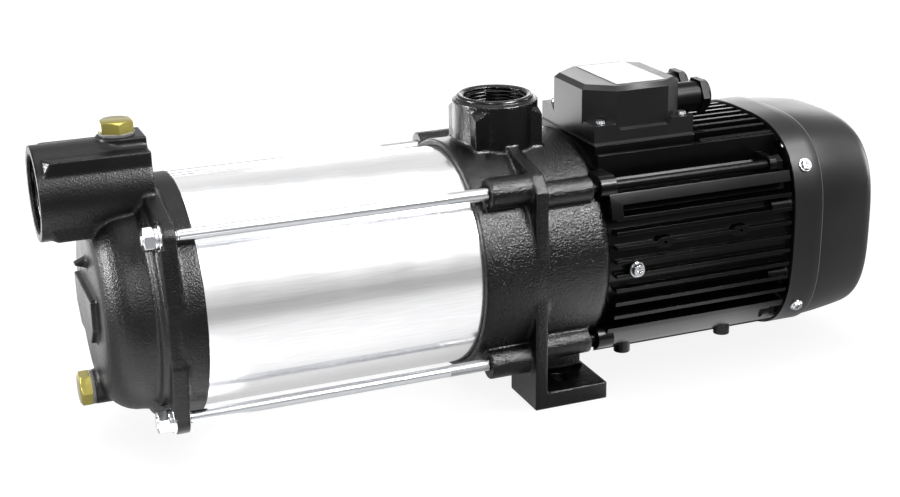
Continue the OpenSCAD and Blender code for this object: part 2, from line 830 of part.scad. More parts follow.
// The foot on the +Y side, with its web and its bolt slot
module foot() {
    web_end_x = foot_len / 2 - 3;
    difference() {
        union() {
            block(-foot_len / 2, foot_len / 2, foot_in_y, foot_y, 0, foot_t);
            block(plate_x, plate_end_x, foot_in_y, foot_y, 0, foot_t);
            block(plate_x, web_end_x, foot_in_y, foot_in_y + leg_t, 0, shaft_height - drum_r + 16);
        }
        translate([0, foot_bolt_w / 2, -e]) foot_slot(foot_t + 2 * e);
    }
}

module foot_slot(high) {
    shift = (foot_slot_len - foot_slot_w) / 2;
    for (s = [-1, 1]) translate([0, s * shift, 0]) cylinder(d = foot_slot_w, h = high);
    translate([-foot_slot_w / 2, -shift, 0]) cube([foot_slot_w, 2 * shift, high]);
}

module inlet_plate() {
    color([0.72, 0.73, 0.75]) ring_x(inlet_x, stage_x, stage_r, eye_r);
}

// Bowl of one stage: wall, partition with the next eye, return vanes and their disc
module stage_casing(i) {
    inside = stage_pitch - stage_wall;
    color([0.66, 0.68, 0.70])
    along_x(stage_x + i * stage_pitch) {
        difference() {
            cylinder(r = stage_r, h = stage_pitch);
            translate([0, 0, -e]) cylinder(r = stage_r - stage_wall, h = inside + e);
            cylinder(r = eye_r, h = stage_pitch + e);
        }
        difference() {
            union() {
                translate([0, 0, return_x]) cylinder(r = return_r, h = return_t);
                for (k = [0:vane_n - 1]) rotate([0, 0, k * 360 / vane_n])
                    translate([0, 0, return_x + return_t / 2])
                    blade(eye_r + 3, stage_r - stage_wall / 2, -55, blade_t,
                        inside - return_x, 8);
            }
            translate([0, 0, -e]) cylinder(r = hub_r + hub_gap, h = stage_pitch);
        }
    }
}

module shaft_bore(r, x0, x1) {
    rod_x(x0 - e, x1 + e, r + slide_fit);
}

// Keyway above the shaft, shared by the shaft and the impellers
module key_solid(play = 0) {
    key_x = stage_x + 3;
    key_end_x = stage_x + (stage_count - 1) * stage_pitch + hub_end_x - 1;
    block(key_x - play, key_end_x + play, -key_w / 2 - play, key_w / 2 + play,
        shaft_height + shaft_r - 2.5, shaft_height + shaft_r + 2 + play);
}

module impeller(i) {
    r = impeller_d / 2;
    color([0.78, 0.79, 0.80])
    difference() {
        along_x(stage_x + i * stage_pitch) {
            difference() {
                union() {
                    translate([0, 0, shroud_x]) cylinder(r = r, h = shroud_t);
                    translate([0, 0, -stage_wall + 0.2])
                        cylinder(r = neck_r, h = stage_wall + shroud_x + shroud_t - 0.2);
                }
                translate([0, 0, -stage_wall - e])
                    cylinder(r = neck_r - neck_t, h = stage_wall + blade_x + 2 * e);
            }
            translate([0, 0, back_x]) cylinder(r = r, h = shroud_t);
            translate([0, 0, hub_x]) cylinder(r = hub_r, h = hub_end_x - hub_x);
            for (k = [0:blade_n - 1]) rotate([0, 0, k * 360 / blade_n])
                translate([0, 0, blade_x - shroud_t / 2])
                blade(neck_r - neck_t - 1, r - 1, 62, blade_t, blade_w + shroud_t);
        }
        shaft_bore(shaft_r, stage_x + i * stage_pitch, stage_x + i * stage_pitch + hub_end_x);
        key_solid(slide_fit);
    }
}

module impeller_spacers() {
    color([0.70, 0.71, 0.73])
    difference() {
        union() {
            for (i = [0:stage_count - 2]) let (x = stage_x + i * stage_pitch + hub_end_x)
                rod_x(x, x + stage_pitch - hub_end_x + hub_x, hub_r - 1);
            rod_x(stage_x + (stage_count - 1) * stage_pitch + hub_end_x,
                seal_spring_x, hub_r - 1);
        }
        shaft_bore(shaft_r, stage_x, seal_spring_x);
        key_solid(slide_fit);
    }
}

module impeller_nut() {
    x = shaft_nut_x - nut_len;
    color([0.75, 0.75, 0.77])
    difference() {
        union() {
            translate([0, 0, shaft_height]) hexagon(x + 3, shaft_nut_x, shaft_nut_af);
            turned([[0, x], [shaft_nut_af / 2 - 4, x], [shaft_nut_af / 2, x + 3],
                    [0, x + 3]]);
        }
        rod_x(x + 1, shaft_nut_x + e, shaft_r - 1);
    }
}

module shaft() {
    color([0.74, 0.75, 0.77])
    difference() {
        turned([[0, shaft_x], [shaft_r - 1, shaft_x], [shaft_r - 1, shaft_nut_x],
            [shaft_r, shaft_nut_x], [shaft_r, seat_x], [front_seat_r, seat_x],
            [front_seat_r, front_brg_x + front_brg_w], [rotor_shaft_r, front_brg_x + front_brg_w],
            [rotor_shaft_r, rear_brg_x], [rear_seat_r, rear_brg_x],
            [rear_seat_r, rear_seat_end_x], [fan_shaft_r, rear_seat_end_x],
            [fan_shaft_r, fan_x + fan_hub_len], [fan_shaft_r - 0.8, fan_x + fan_hub_len],
            [fan_shaft_r - 0.8, fan_x + fan_hub_len + 1.3],
            [fan_shaft_r, fan_x + fan_hub_len + 1.3], [fan_shaft_r - 0.5, shaft_end_x],
            [0, shaft_end_x]]);
        key_solid();
    }
}

module impeller_key() {
    color([0.55, 0.56, 0.58]) key_solid();
}

module seal_head() {
    color([0.25, 0.25, 0.27])
    turned([[shaft_r + slide_fit, seal_head_x], [seal_head_r, seal_head_x],
        [seal_head_r, seal_face_x - 4], [seal_head_r - 2, seal_face_x - 4],
        [seal_head_r - 2, seal_face_x], [shaft_r + slide_fit, seal_face_x]]);
}

module seal_spring() {
    turns = 4;
    color([0.78, 0.79, 0.80])
    along_x(seal_spring_x + seal_end_gap)
        linear_extrude(seal_spring_len - 2 * seal_end_gap, twist = -360 * turns, slices = 56)
        translate([seal_spring_r, 0]) circle(r = seal_wire_r, $fn = 8);
}

module seal_seat() {
    color([0.92, 0.90, 0.86])
    ring_x(seal_face_x, seal_pocket_end_x - seal_boot_t, seal_pocket_r - seal_boot_t,
        shaft_r + shaft_hole_gap);
}

module seal_boot() {
    color([0.12, 0.12, 0.12])
    difference() {
        rod_x(seal_face_x + 1, seal_pocket_end_x, seal_pocket_r);
        rod_x(seal_face_x, seal_pocket_end_x - seal_boot_t, seal_pocket_r - seal_boot_t);
        rod_x(seal_face_x, seal_pocket_end_x + e, shaft_r + shaft_hole_gap);
    }
}

module flinger() {
    x = wet_wall_end_x + 2.2;
    color([0.13, 0.13, 0.13])
    turned([[front_seat_r, x], [front_seat_r + flinger_lip, x + 0.5],
            [front_seat_r + flinger_lip, x + 1.8], [front_seat_r + 2.5, x + 3],
            [front_seat_r, x + 3]]);
}

// Races and balls of a deep groove bearing whose front face is at x
module bearing_race(x, wide, r_out, r_in, ball_r, pitch_r) {
    color([0.80, 0.81, 0.82])
    difference() {
        ring_x(x, x + wide, r_out, r_in);
        along_x(x + wide / 2) rotate_extrude($fn = 96)
            translate([pitch_r, 0]) circle(r = ball_r + 0.06, $fn = 48);
    }
}

// Balls in a flat cage that they turn in
module bearing_balls(x, wide, ball_r, pitch_r, count) {
    cage_r = 1.6;
    cage_h = ball_r + 1.3;
    along_x(x + wide / 2) {
        color([0.86, 0.87, 0.88])
        for (k = [0:count - 1]) rotate([0, 0, k * 360 / count])
            translate([pitch_r, 0, 0]) sphere(r = ball_r, $fn = 32);
        color([0.72, 0.60, 0.34])
        difference() {
            translate([0, 0, -cage_h]) cylinder(r = pitch_r + cage_r, h = 2 * cage_h);
            translate([0, 0, -cage_h - e]) cylinder(r = pitch_r - cage_r, h = 2 * cage_h + 2 * e);
            for (k = [0:count - 1]) rotate([0, 0, k * 360 / count])
                rotate([0, 90, 0]) cylinder(r = ball_r + 0.1, h = pitch_r + 2 * cage_r);
        }
    }
}

front_pitch_r = (front_brg_r + front_seat_r) / 2;
front_ball_r = 3.97;
rear_pitch_r = (rear_brg_r + rear_seat_r) / 2;
rear_ball_r = 3.97;
race_gap = 2.4;

module front_bearing_outer() {
    bearing_race(front_brg_x, front_brg_w, front_brg_r, front_pitch_r + race_gap,
        front_ball_r, front_pitch_r);
}

module front_bearing_inner() {
    bearing_race(front_brg_x, front_brg_w, front_pitch_r - race_gap, front_seat_r,
        front_ball_r, front_pitch_r);
}

module front_bearing_balls() {
    bearing_balls(front_brg_x, front_brg_w, front_ball_r, front_pitch_r, 9);
}

module rear_bearing_outer() {
    bearing_race(rear_brg_x, rear_brg_w, rear_brg_r, rear_pitch_r + race_gap,
        rear_ball_r, rear_pitch_r);
}

module rear_bearing_inner() {
    bearing_race(rear_brg_x, rear_brg_w, rear_pitch_r - race_gap, rear_seat_r,
        rear_ball_r, rear_pitch_r);
}

module rear_bearing_balls() {
    bearing_balls(rear_brg_x, rear_brg_w, rear_ball_r, rear_pitch_r, 8);
}

// Spring ring that loads the rear bearing
module wave_spring() {
    color([0.76, 0.77, 0.79])
    ring_x(rear_seat_end_x, rear_seat_end_x + 1, rear_brg_r - 0.5, rear_brg_r - 5);
}

module rotor_core() {
    ring_len = 8;
    hollow_r = rotor_r - 12;
    color([0.50, 0.51, 0.54])
    difference() {
        union() {
            rod_x(core_x, core_end_x, rotor_r);
            rod_x(core_x - ring_len, core_end_x + ring_len, rotor_r - 3);
        }
        shaft_bore(rotor_shaft_r, core_x - ring_len, core_end_x + ring_len);
        ring_x(core_x - ring_len - e, core_x - 1, hollow_r, rotor_shaft_r + 4);
        ring_x(core_end_x + 1, core_end_x + ring_len + e, hollow_r, rotor_shaft_r + 4);
    }
}

// Radial slots of the stator core, open to its bore
module stator_slots(x0, x1, r0, r1, wide) {
    for (k = [0:slot_n - 1]) translate([0, 0, shaft_height]) rotate([k * 360 / slot_n, 0, 0])
        translate([x0, r0, -wide / 2]) cube([x1 - x0, r1 - r0, wide]);
}

slot_depth = 16;
slot_w = 5;

module stator_core() {
    color([0.42, 0.43, 0.45])
    difference() {
        ring_x(core_x, core_end_x, stator_r, stator_id / 2);
        stator_slots(core_x - e, core_end_x + e, stator_id / 2 - e, stator_id / 2 + slot_depth,
            slot_w);
    }
}

module stator_windings() {
    coil_r = stator_id / 2 + 11;
    half = 7;
    cut = 3;
    color([0.72, 0.42, 0.22]) {
        stator_slots(core_x - 2, core_end_x + 2, stator_id / 2 + 1.5,
            stator_id / 2 + slot_depth - 0.3, slot_w - 0.6);
        for (x = [core_x - half - 1, core_end_x + half + 1])
            along_x(x) rotate_extrude($fn = 96)
                polygon([[coil_r - half - 1, -half], [coil_r + half - cut, -half],
                         [coil_r + half, cut - half], [coil_r + half, half],
                         [coil_r - half - 1, half]]);
    }
}

// Fins on one flank of the housing, from the ledge down to the foot strip
module side_fins(x0, x1) {
    for (k = [0:8]) let (z = shaft_height + ledge_z - fin_pitch * (k + 1))
        block(x0, x1, stator_r / 2, housing_w, z - fin_t / 2, z + fin_t / 2);
}

// Upright fins above and below the housing's bore
module upright_fins(x0, x1, z0, z1) {
    for (k = [0:4]) let (y = fin_pitch * (k + 0.5))
        block(x0, x1, y - fin_t / 2, y + fin_t / 2, z0, z1);
}

module housing_flank() {
    ledge_top = shaft_height + ledge_z + ledge_h;
    next_fin_z = shaft_height + ledge_z - fin_pitch;
    side_fins(fin_start_x, housing_end_x);
    // Panel beside the upper fins, and the solid ledge below the bolt with its end web
    block(motor_face + 2, housing_end_x, panel_y - panel_t, panel_y, shaft_height + ledge_z,
        shaft_height + strip_z + 5.5);
    block(fin_start_x, housing_end_x, panel_y - 2 * panel_t, housing_w, shaft_height + ledge_z - 1,
        ledge_top);
    block(motor_face, fin_start_x + 5, panel_y, housing_w, next_fin_z, ledge_top);
    // Solid foot strip
    block(motor_face, housing_end_x, 34, housing_w, shaft_height - strip_z,
        shaft_height - ledge_z - 2);
    // Upright fins behind the terminal box, and below
    upright_fins(box_end_x + 3, housing_end_x, shaft_height + 40, shaft_height + housing_w / 2);
    upright_fins(fin_start_x, housing_end_x, shaft_height - housing_w / 2 + 4,
        shaft_height - 40);
}

module lozenge(x, z) {
    translate([x, -housing_w / 2, z]) rotate([-90, 0, 0]) linear_extrude(12)
        polygon([[-8, 0], [-4, 3.2], [4, 3.2], [8, 0], [4, -3.2], [-4, -3.2]]);
}

earth_x = motor_face + 17;
earth_z = shaft_height - 2.5;
earth_seat_y = -housing_w / 2 - 0.2;

module motor_housing() {
    lozenge_z = shaft_height + ledge_z - 3 * fin_pitch;
    lozenge_places = [motor_face + 38, housing_end_x - 39.5];
    color([0.07, 0.07, 0.075])
    difference() {
        union() {
            rod_x(motor_face, housing_end_x, housing_r);
            intersection() {
                prism_x(motor_face, housing_end_x, squircle(housing_w / 2));
                union() {
                    both_sides() housing_flank();
                    // Pads on the fins of the side that faces forward
                    for (x = lozenge_places) lozenge(x, lozenge_z);
                }
            }
            translate([earth_x, earth_seat_y, earth_z]) rotate([-90, 0, 0])
                cylinder(r = 5.6, h = 14);
            pedestal();
            bolt_lugs();
            shield_bosses();
            foot_bosses();
        }
        rod_x(motor_face - e, housing_end_x + e, stator_r + core_gap);
        // Clearance round the bracket's drum
        rod_x(bolt_lug_x - e, motor_face, drum_r + 0.6);
        at_motor_bolts() {
            bar(bolt_lug_x - e, housing_end_x + e, bolt_r + 0.3);
            bar(rear_lug_end_x, housing_end_x + e, bolt_head_r);
        }
        // Way of the leads into the terminal box
        block(box_x + 9, box_x + 19, -12, 12, shaft_height + 50, pedestal_z + e);
        at_cover_screws() translate([0, 0, -gasket_t - 9])
            cylinder(r = cover_screw_d / 2 - 0.2, h = 12);
        at_shield_screws() bar(housing_end_x - shield_screw_in - 2, housing_end_x + e,
            shield_screw_d / 2);
        translate([earth_x, earth_seat_y - e, earth_z]) rotate([-90, 0, 0])
            cylinder(r = earth_screw_d / 2 + 0.1, h = 10);
        for (x = lozenge_places) translate([x, -housing_w, lozenge_z])
            rotate([-90, 0, 0]) cylinder(r = 1.2, h = housing_w / 2 + 6, $fn = 24);
    }
}

// Flat seat of the terminal box and the deck that it stands on
module pedestal() {
    block(box_x, box_end_x, -skirt_w / 2 - 1.5, skirt_w / 2 + 1.5, shaft_height + 50,
        pedestal_z);
    block(box_x, box_end_x + 3, -panel_y + panel_t / 2, panel_y - panel_t / 2,
        shaft_height + 40, shaft_height + strip_z);
}

module bolt_lugs() {
    at_motor_bolts() {
        bar(bolt_lug_x, bolt_lug_end_x, lug_r);
        bar(rear_lug_x, rear_lug_end_x, rear_lug_r);
    }
    for (a = [motor_bolt_angle, 180 - motor_bolt_angle], turn = [0, 180])
        translate([0, 0, shaft_height]) rotate([a + turn, 0, 0]) {
            block(motor_face, bolt_lug_end_x, housing_r - 1, motor_bolt_r, -bolt_web_t / 2,
                bolt_web_t / 2);
            block(rear_lug_x, rear_lug_end_x, housing_r - 1, motor_bolt_r, -bolt_web_t / 2,
                bolt_web_t / 2);
        }
    both_sides() for (s = [-1, 1]) {
        lug_z = shaft_height + s * bolt_z;
        block(bolt_lug_x, bolt_lug_end_x, panel_y - 10, bolt_y, lug_z - lug_r, lug_z + lug_r);
        block(rear_lug_x, rear_lug_end_x, panel_y - 10, bolt_y, lug_z - 5, lug_z + 5);
    }
}

module at_shield_screws() {
    for (side = [0, 180], a = [-shield_screw_angle, shield_screw_angle])
        translate([0, 0, shaft_height]) rotate([side + a, 0, 0])
        translate([0, shield_screw_r, 0]) children();
}

// A lug round one shield screw, with a web back to the ring of radius r
module shield_lug(x0, x1, r) {
    bar(x0, x1, shield_lug_r);
    block(x0, x1, r - 1 - shield_screw_r, 0, -lug_web_t / 2, lug_web_t / 2);
}

module shield_bosses() {
    at_shield_screws() shield_lug(housing_end_x - shield_boss_len, housing_end_x, housing_r);
}

module foot_bosses() {
    both_sides() for (x = [motor_face + 19, housing_end_x - 38])
        translate([x, 53, shaft_height - strip_z - 5.5]) cylinder(r = 5.5, h = 10);
}

module motor_bolts() {
    color([0.10, 0.10, 0.11])
    at_motor_bolts() {
        bar(motor_boss_end_x - 14, rear_lug_end_x, bolt_r);
        hexagon(rear_lug_end_x, rear_lug_end_x + bolt_head_h, 10);
    }
}

module rear_end_shield() {
    hub_wall = 5;
    color([0.55, 0.56, 0.58])
    difference() {
        union() {
            rod_x(housing_end_x, housing_end_x + shield_t, housing_r - 0.5);
            ring_x(housing_end_x - 5, housing_end_x + 1, stator_r - 0.1, stator_r - 5);
            rod_x(rear_brg_x - 2, shield_hub_end_x, rear_brg_r + hub_wall);
            at_shield_screws() shield_lug(housing_end_x, housing_end_x + shield_t, housing_r - 0.5);
            cowl_lugs();
        }
        rod_x(rear_brg_x, rear_seat_end_x + 1, rear_brg_r);
        rod_x(rear_brg_x - 2 - e, shield_hub_end_x + e, rear_brg_r - 6);
        at_shield_screws() bar(housing_end_x - e, housing_end_x + shield_t + e,
            shield_screw_d / 2 + 0.4);
        at_cowl_screws() translate([0, 0, -cowl_screw_len - 1])
            cylinder(r = cowl_screw_d / 2, h = 40, $fn = 32);
    }
}

// Places of the cowl screws, with the z axis pointing out of the cowl's surface
module at_cowl_screws() {
    a = cowl_screw_angle;
    reach = squircle_reach(cowl_w / 2, a);
    tilt = atan2(pow(sin(a), square_power - 1), pow(cos(a), square_power - 1));
    for (sy = [-1, 1], sz = [-1, 1])
        translate([cowl_screw_x, sy * reach * cos(a), shaft_height + sz * reach * sin(a)])
            rotate([sy * (sz * tilt - 90), 0, 0]) children();
}

module cowl_lugs() {
    half = cowl_lug_w / 2;
    arm_end = squircle_reach(cowl_w / 2, cowl_screw_angle) - cowl_lug_in + 8;
    intersection() {
        at_cowl_screws() translate([-half, -half, -cowl_lug_in])
            cube([cowl_lug_w, cowl_lug_w, cowl_lug_in]);
        prism_x(housing_end_x, cowl_screw_x + half + 0.5, squircle(cowl_w / 2 - cowl_wall));
    }
    for (turn = [0, 180], a = [-cowl_arm_angle, cowl_arm_angle]) translate([0, 0, shaft_height])
        rotate([a + turn, 0, 0])
        block(housing_end_x, cowl_screw_x + half - 0.5, stator_r - 8, arm_end, -half, half);
}

module shield_screws() {
    color([0.70, 0.71, 0.72])
    at_shield_screws() {
        bar(housing_end_x - shield_screw_in, housing_end_x + shield_t, shield_screw_d / 2);
        bar(housing_end_x + shield_t, housing_end_x + shield_t + 3, shield_screw_d - 0.2);
    }
}

module cooling_fan() {
    hub_out_r = fan_shaft_r + 9;
    color([0.10, 0.10, 0.11])
    difference() {
        union() {
            rod_x(fan_x, fan_x + fan_hub_len, hub_out_r);
            rod_x(fan_x, fan_x + 2.5, fan_r - 10);
            for (k = [0:fan_blade_n - 1]) translate([0, 0, shaft_height])
                rotate([k * 360 / fan_blade_n, 0, 0])
                block(fan_x, fan_x + fan_blade_w, fan_shaft_r + 4, fan_r, -1.1, 1.1);
        }
        shaft_bore(fan_shaft_r, fan_x, fan_x + fan_hub_len);
    }
}

module fan_clip() {
    x = fan_x + fan_hub_len;
    color([0.60, 0.61, 0.63])
    difference() {
        ring_x(x, x + 1.2, fan_shaft_r + 2.5, fan_shaft_r - 0.8);
        block(x - e, x + 2, -3, 3, shaft_height - fan_shaft_r - 4, shaft_height);
    }
}

// Outline of the cowl behind its band, drawn in by t on every side
module cowl_shape(t) {
    hull() {
        for (s = [[cowl_x + cowl_band - 2, cowl_w / 2 - cowl_step, 0],
                  [cowl_end_x - 24, cowl_w / 2 - 2.8, 0],
                  [cowl_end_x - 10, cowl_w / 2 - 4.8, 0],
                  [cowl_end_x - 4.6, cowl_w / 2 - 6.4, 0],
                  [cowl_end_x - 1.8, cowl_w / 2 - 9, 0.6],
                  [cowl_end_x - 0.4, cowl_w / 2 - 12.5, 1],
                  [cowl_end_x, cowl_w / 2 - 16, 1]])
            prism_x(s[0] - t * s[2] - 0.1, s[0] - t * s[2], squircle(s[1] - t));
    }
}

module grille_slots() {
    ring_w = 4.4;
    difference() {
        for (r = [12:7.6:grille_r])
            ring_x(cowl_end_x - 2 * cowl_wall, cowl_end_x + e, r + ring_w, r);
        for (k = [0:5]) translate([0, 0, shaft_height]) rotate([k * 60, 0, 0])
            block(cowl_end_x - 3 * cowl_wall, cowl_end_x + 2 * e, 0, grille_r + 10, -2, 2);
    }
}

module fan_cowl() {
    color([0.10, 0.10, 0.11])
    difference() {
        union() {
            prism_x(cowl_x, cowl_x + cowl_band, squircle(cowl_w / 2));
            cowl_shape(0);
        }
        prism_x(cowl_x - e, cowl_x + cowl_band - 0.5, squircle(cowl_w / 2 - cowl_wall));
        cowl_shape(cowl_wall);
        grille_slots();
        at_cowl_screws() translate([0, 0, -6]) cylinder(r = cowl_screw_d / 2 + 0.3, h = 12);
    }
}

module cowl_screws() {
    color([0.80, 0.81, 0.82])
    at_cowl_screws() {
        translate([0, 0, -cowl_screw_len]) cylinder(r = cowl_screw_d / 2, h = cowl_screw_len + 0.5);
        difference() {
            union() {
                translate([0, 0, 0.1]) cylinder(r = 4.6, h = 1);
                translate([0, 0, 1.1]) cylinder(r1 = 3.9, r2 = 3.2, h = 2);
            }
            for (a = [0, 90]) rotate([0, 0, a]) translate([-2, -0.45, 1.9]) cube([4, 0.9, 2]);
        }
    }
}

// Plan of the terminal cover: an octagon with longer sides, drawn in by t
function cover_plan(t) = let (x0 = box_x + t, x1 = cover_end_x - t, y = cover_w / 2 - t,
        cut_x = 18 - t * 0.5, cut_y = 14 - t * 0.4, end_x = 13 - t * 0.5, end_y = 10 - t * 0.4)
    [[x0, cut_y - y], [x0 + cut_x, -y], [x1 - end_x, -y], [x1, end_y - y],
     [x1, y - end_y], [x1 - end_x, y], [x0 + cut_x, y], [x0, y - cut_y]];

module cover_prism(t, z0, z1) {
    translate([0, 0, z0]) linear_extrude(z1 - z0) polygon(cover_plan(t));
}

module at_cover_screws() {
    for (x = [box_x + cover_screw_inset_x, box_end_x - cover_screw_inset_x + 1.5], s = [-1, 1])
        translate([x, s * (skirt_w / 2 - cover_screw_inset_y), cover_z]) children();
}

module terminal_cover() {
    top_z = cover_z + cover_h;
    color([0.15, 0.155, 0.16])
    difference() {
        union() {
            skirt();
            hull() {
                cover_prism(0, cover_z, top_z - cover_chamfer);
                cover_prism(cover_chamfer, top_z - 1, top_z);
            }
        }
        cover_prism(cover_wall, cover_z - e, top_z - cover_wall - 1);
        at_cover_screws() translate([0, 0, -e]) cylinder(r = cover_screw_d / 2 + 0.2, h = 20);
        at_glands() translate([-cover_wall - 2, 0, 0]) bar(0, cover_wall + 3, gland_r - 2);
    }
}

// Skirt with four raised corner pads
module skirt() {
    low = skirt_h;
    difference() {
        block(box_x, box_end_x, -skirt_w / 2, skirt_w / 2, cover_z, cover_z + pad_h);
        // Lowered middles of the long and the short sides, with slanted ends
        translate([0, skirt_w, cover_z]) rotate([90, 0, 0]) linear_extrude(2 * skirt_w)
            polygon([[box_x + pad_len, low], [box_x + pad_len - 4, pad_h + 1],
                     [box_end_x - pad_len + 4, pad_h + 1], [box_end_x - pad_len, low]]);
        translate([box_x - e, 0, cover_z]) rotate([90, 0, 90]) linear_extrude(box_len + 2 * e)
            polygon([[pad_len - skirt_w / 2, low], [pad_len - skirt_w / 2 - 4, pad_h + 1],
                     [skirt_w / 2 - pad_len + 4, pad_h + 1], [skirt_w / 2 - pad_len, low]]);
    }
}

module terminal_cover_screws() {
    color([0.78, 0.79, 0.80])
    at_cover_screws() {
        translate([0, 0, -gasket_t - 8])
            cylinder(r = cover_screw_d / 2 - 0.2, h = pad_h + gasket_t + 8);
        translate([0, 0, pad_h]) cylinder(r1 = 3.4, r2 = 2.8, h = 2);
    }
}

module terminal_gasket() {
    color([0.14, 0.14, 0.14])
    difference() {
        block(box_x, box_end_x, -skirt_w / 2, skirt_w / 2, pedestal_z, cover_z);
        translate([0, 0, pedestal_z - e]) linear_extrude(gasket_t + 2 * e)
            polygon(cover_plan(cover_wall + 1));
        at_cover_screws() translate([0, 0, -gasket_t - e]) cylinder(r = 2.2, h = gasket_t + 1);
    }
}

// Moulded board with six studs and their nuts
module terminal_board() {
    x0 = box_x + board_back;
    board_h = 6;
    board_len = 38;
    board_y = 17;
    color([0.35, 0.22, 0.14])
    block(x0, x0 + board_len, -board_y, board_y, pedestal_z, pedestal_z + board_h);
    color([0.80, 0.62, 0.24])
    for (i = [0:2], s = [-1, 1]) translate([x0 + 8 + 11 * i, s * 9, pedestal_z + board_h - 1]) {
        cylinder(r = 2, h = 11);
        cylinder(r = 4, h = 4, $fn = 6);
    }
}

module at_glands() {
    for (s = [-1, 1]) translate([gland_x, s * gland_gap / 2, gland_z]) children();
}

module gland_bodies() {
    color([0.09, 0.09, 0.10])
    at_glands() difference() {
        union() {
            bar(-cover_wall - 3, 0, gland_r - 2.1);
            bar(0, gland_len, gland_r);
            bar(-cover_wall - 3, -cover_wall, gland_r - 1);
        }
        bar(-cover_wall - 4, gland_len + e, cable_bore / 2 + 2);
    }
}

module gland_seals() {
    color([0.16, 0.16, 0.17])
    at_glands() difference() {
        bar(2, gland_len, cable_bore / 2 + 2);
        bar(1, gland_len + e, cable_bore / 2);
    }
}

module gland_nuts() {
    color([0.09, 0.09, 0.10])
    at_glands() difference() {
        union() {
            rotate([30, 0, 0]) hexagon(gland_len, gland_len + gland_nut_len - 2, gland_af);
            bar(gland_len, gland_len + gland_nut_len, gland_af / 2 - 0.6);
        }
        bar(gland_len - e, gland_len + gland_nut_len + e, cable_bore / 2 + 1);
    }
}

module earth_place() {
    translate([earth_x, earth_seat_y, earth_z]) rotate([90, 0, 0]) children();
}

module earth_washer() {
    color([0.78, 0.79, 0.80])
    earth_place() difference() {
        cylinder(r = 5.2, h = 1.2);
        translate([0, 0, -e]) cylinder(r = earth_screw_d / 2 + 0.1, h = 3);
    }
}

module earth_screw() {
    color([0.82, 0.83, 0.84])
    earth_place() {
        translate([0, 0, -8]) cylinder(r = earth_screw_d / 2, h = 9.2);
        difference() {
            translate([0, 0, 1.2]) cylinder(r1 = 4.4, r2 = 3.8, h = 2.8);
            for (a = [0, 90]) rotate([0, 0, a]) translate([-2.4, -0.5, 2.8]) cube([4.8, 1, 2]);
        }
    }
}

// Blank rating plate on the terminal cover
module rating_plate() {
    color([0.90, 0.90, 0.89])
    block(box_x + 21, box_x + 57, -cover_w / 2 + 6, cover_w / 2 - 6, cover_z + cover_h,
        cover_z + cover_h + 0.4);
}

suction_casing();
front_barrel_seal();
barrel();
rear_barrel_seal();
tie_rods();
tie_rod_nuts();
tie_rod_washers();
priming_plug();
priming_washer();
drain_plug();
drain_washer();
discharge_bracket();
inlet_plate();
stage_casing(0);  // stage_casing_1
stage_casing(1);  // stage_casing_2
stage_casing(2);  // stage_casing_3
stage_casing(3);  // stage_casing_4
stage_casing(4);  // stage_casing_5
impeller(0);  // impeller_1
impeller(1);  // impeller_2
impeller(2);  // impeller_3
impeller(3);  // impeller_4
impeller(4);  // impeller_5
impeller_spacers();
impeller_nut();
shaft();
impeller_key();
seal_head();
seal_spring();
seal_seat();
seal_boot();
flinger();
front_bearing_outer();
front_bearing_inner();
front_bearing_balls();
rear_bearing_outer();
rear_bearing_inner();
rear_bearing_balls();
wave_spring();
rotor_core();
stator_core();
stator_windings();
motor_housing();
motor_bolts();
rear_end_shield();
shield_screws();
cooling_fan();
fan_clip();
fan_cowl();
cowl_screws();
terminal_gasket();
terminal_board();
terminal_cover();
terminal_cover_screws();
gland_bodies();
gland_nuts();
gland_seals();
earth_screw();
earth_washer();
rating_plate();
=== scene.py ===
"""Looks of a horizontal multistage pump: cast iron ends, a steel barrel held by four tie rods,
a finned black motor with its cowl, and a terminal box with two cable glands."""

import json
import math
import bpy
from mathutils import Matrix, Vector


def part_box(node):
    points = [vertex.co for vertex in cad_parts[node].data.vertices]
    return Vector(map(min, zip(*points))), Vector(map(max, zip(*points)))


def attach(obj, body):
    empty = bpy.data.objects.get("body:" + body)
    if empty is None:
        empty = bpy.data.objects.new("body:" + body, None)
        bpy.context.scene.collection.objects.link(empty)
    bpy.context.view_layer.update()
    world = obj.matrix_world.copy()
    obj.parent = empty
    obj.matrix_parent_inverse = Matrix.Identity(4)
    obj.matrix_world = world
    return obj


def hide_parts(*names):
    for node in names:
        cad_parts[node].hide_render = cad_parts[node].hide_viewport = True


bl_info = {
    "name": "Horizontal Multistage Pump",
    "version": (1, 0, 0),
    "blender": (4, 5, 0),
    "location": "3D View > Sidebar > Pump",
    "description": "Castings, barrel, tie rods, motor and studio of a horizontal multistage pump",
    "category": "Object",
}

import bmesh
import bpy
import numpy as np
from bpy.props import FloatProperty, FloatVectorProperty, IntProperty, PointerProperty
from mathutils import Matrix, Vector

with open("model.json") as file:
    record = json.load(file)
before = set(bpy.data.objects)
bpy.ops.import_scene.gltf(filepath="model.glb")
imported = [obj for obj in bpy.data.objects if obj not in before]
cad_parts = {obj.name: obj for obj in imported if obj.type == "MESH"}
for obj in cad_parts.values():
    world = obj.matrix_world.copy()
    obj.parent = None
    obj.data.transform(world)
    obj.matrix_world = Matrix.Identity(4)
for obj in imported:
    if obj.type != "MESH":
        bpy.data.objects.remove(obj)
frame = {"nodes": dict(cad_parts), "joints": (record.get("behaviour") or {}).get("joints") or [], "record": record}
NODES = frame["nodes"]
MOUNTS = {m["name"]: m for m in frame["record"]["mounts"]}
SHAFT_Z = frame["joints"][0]["pos_m"][2]
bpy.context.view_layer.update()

MM = 0.001
PUMP = "pump"
PICTURE_WIDTH = 900
SPOKE_STEPS = 2  # Steps of the grille's mesh from a spoke's middle to its edge
MIDDLE = (-0.05, 0.0, 0.09)  # What the lamps aim at

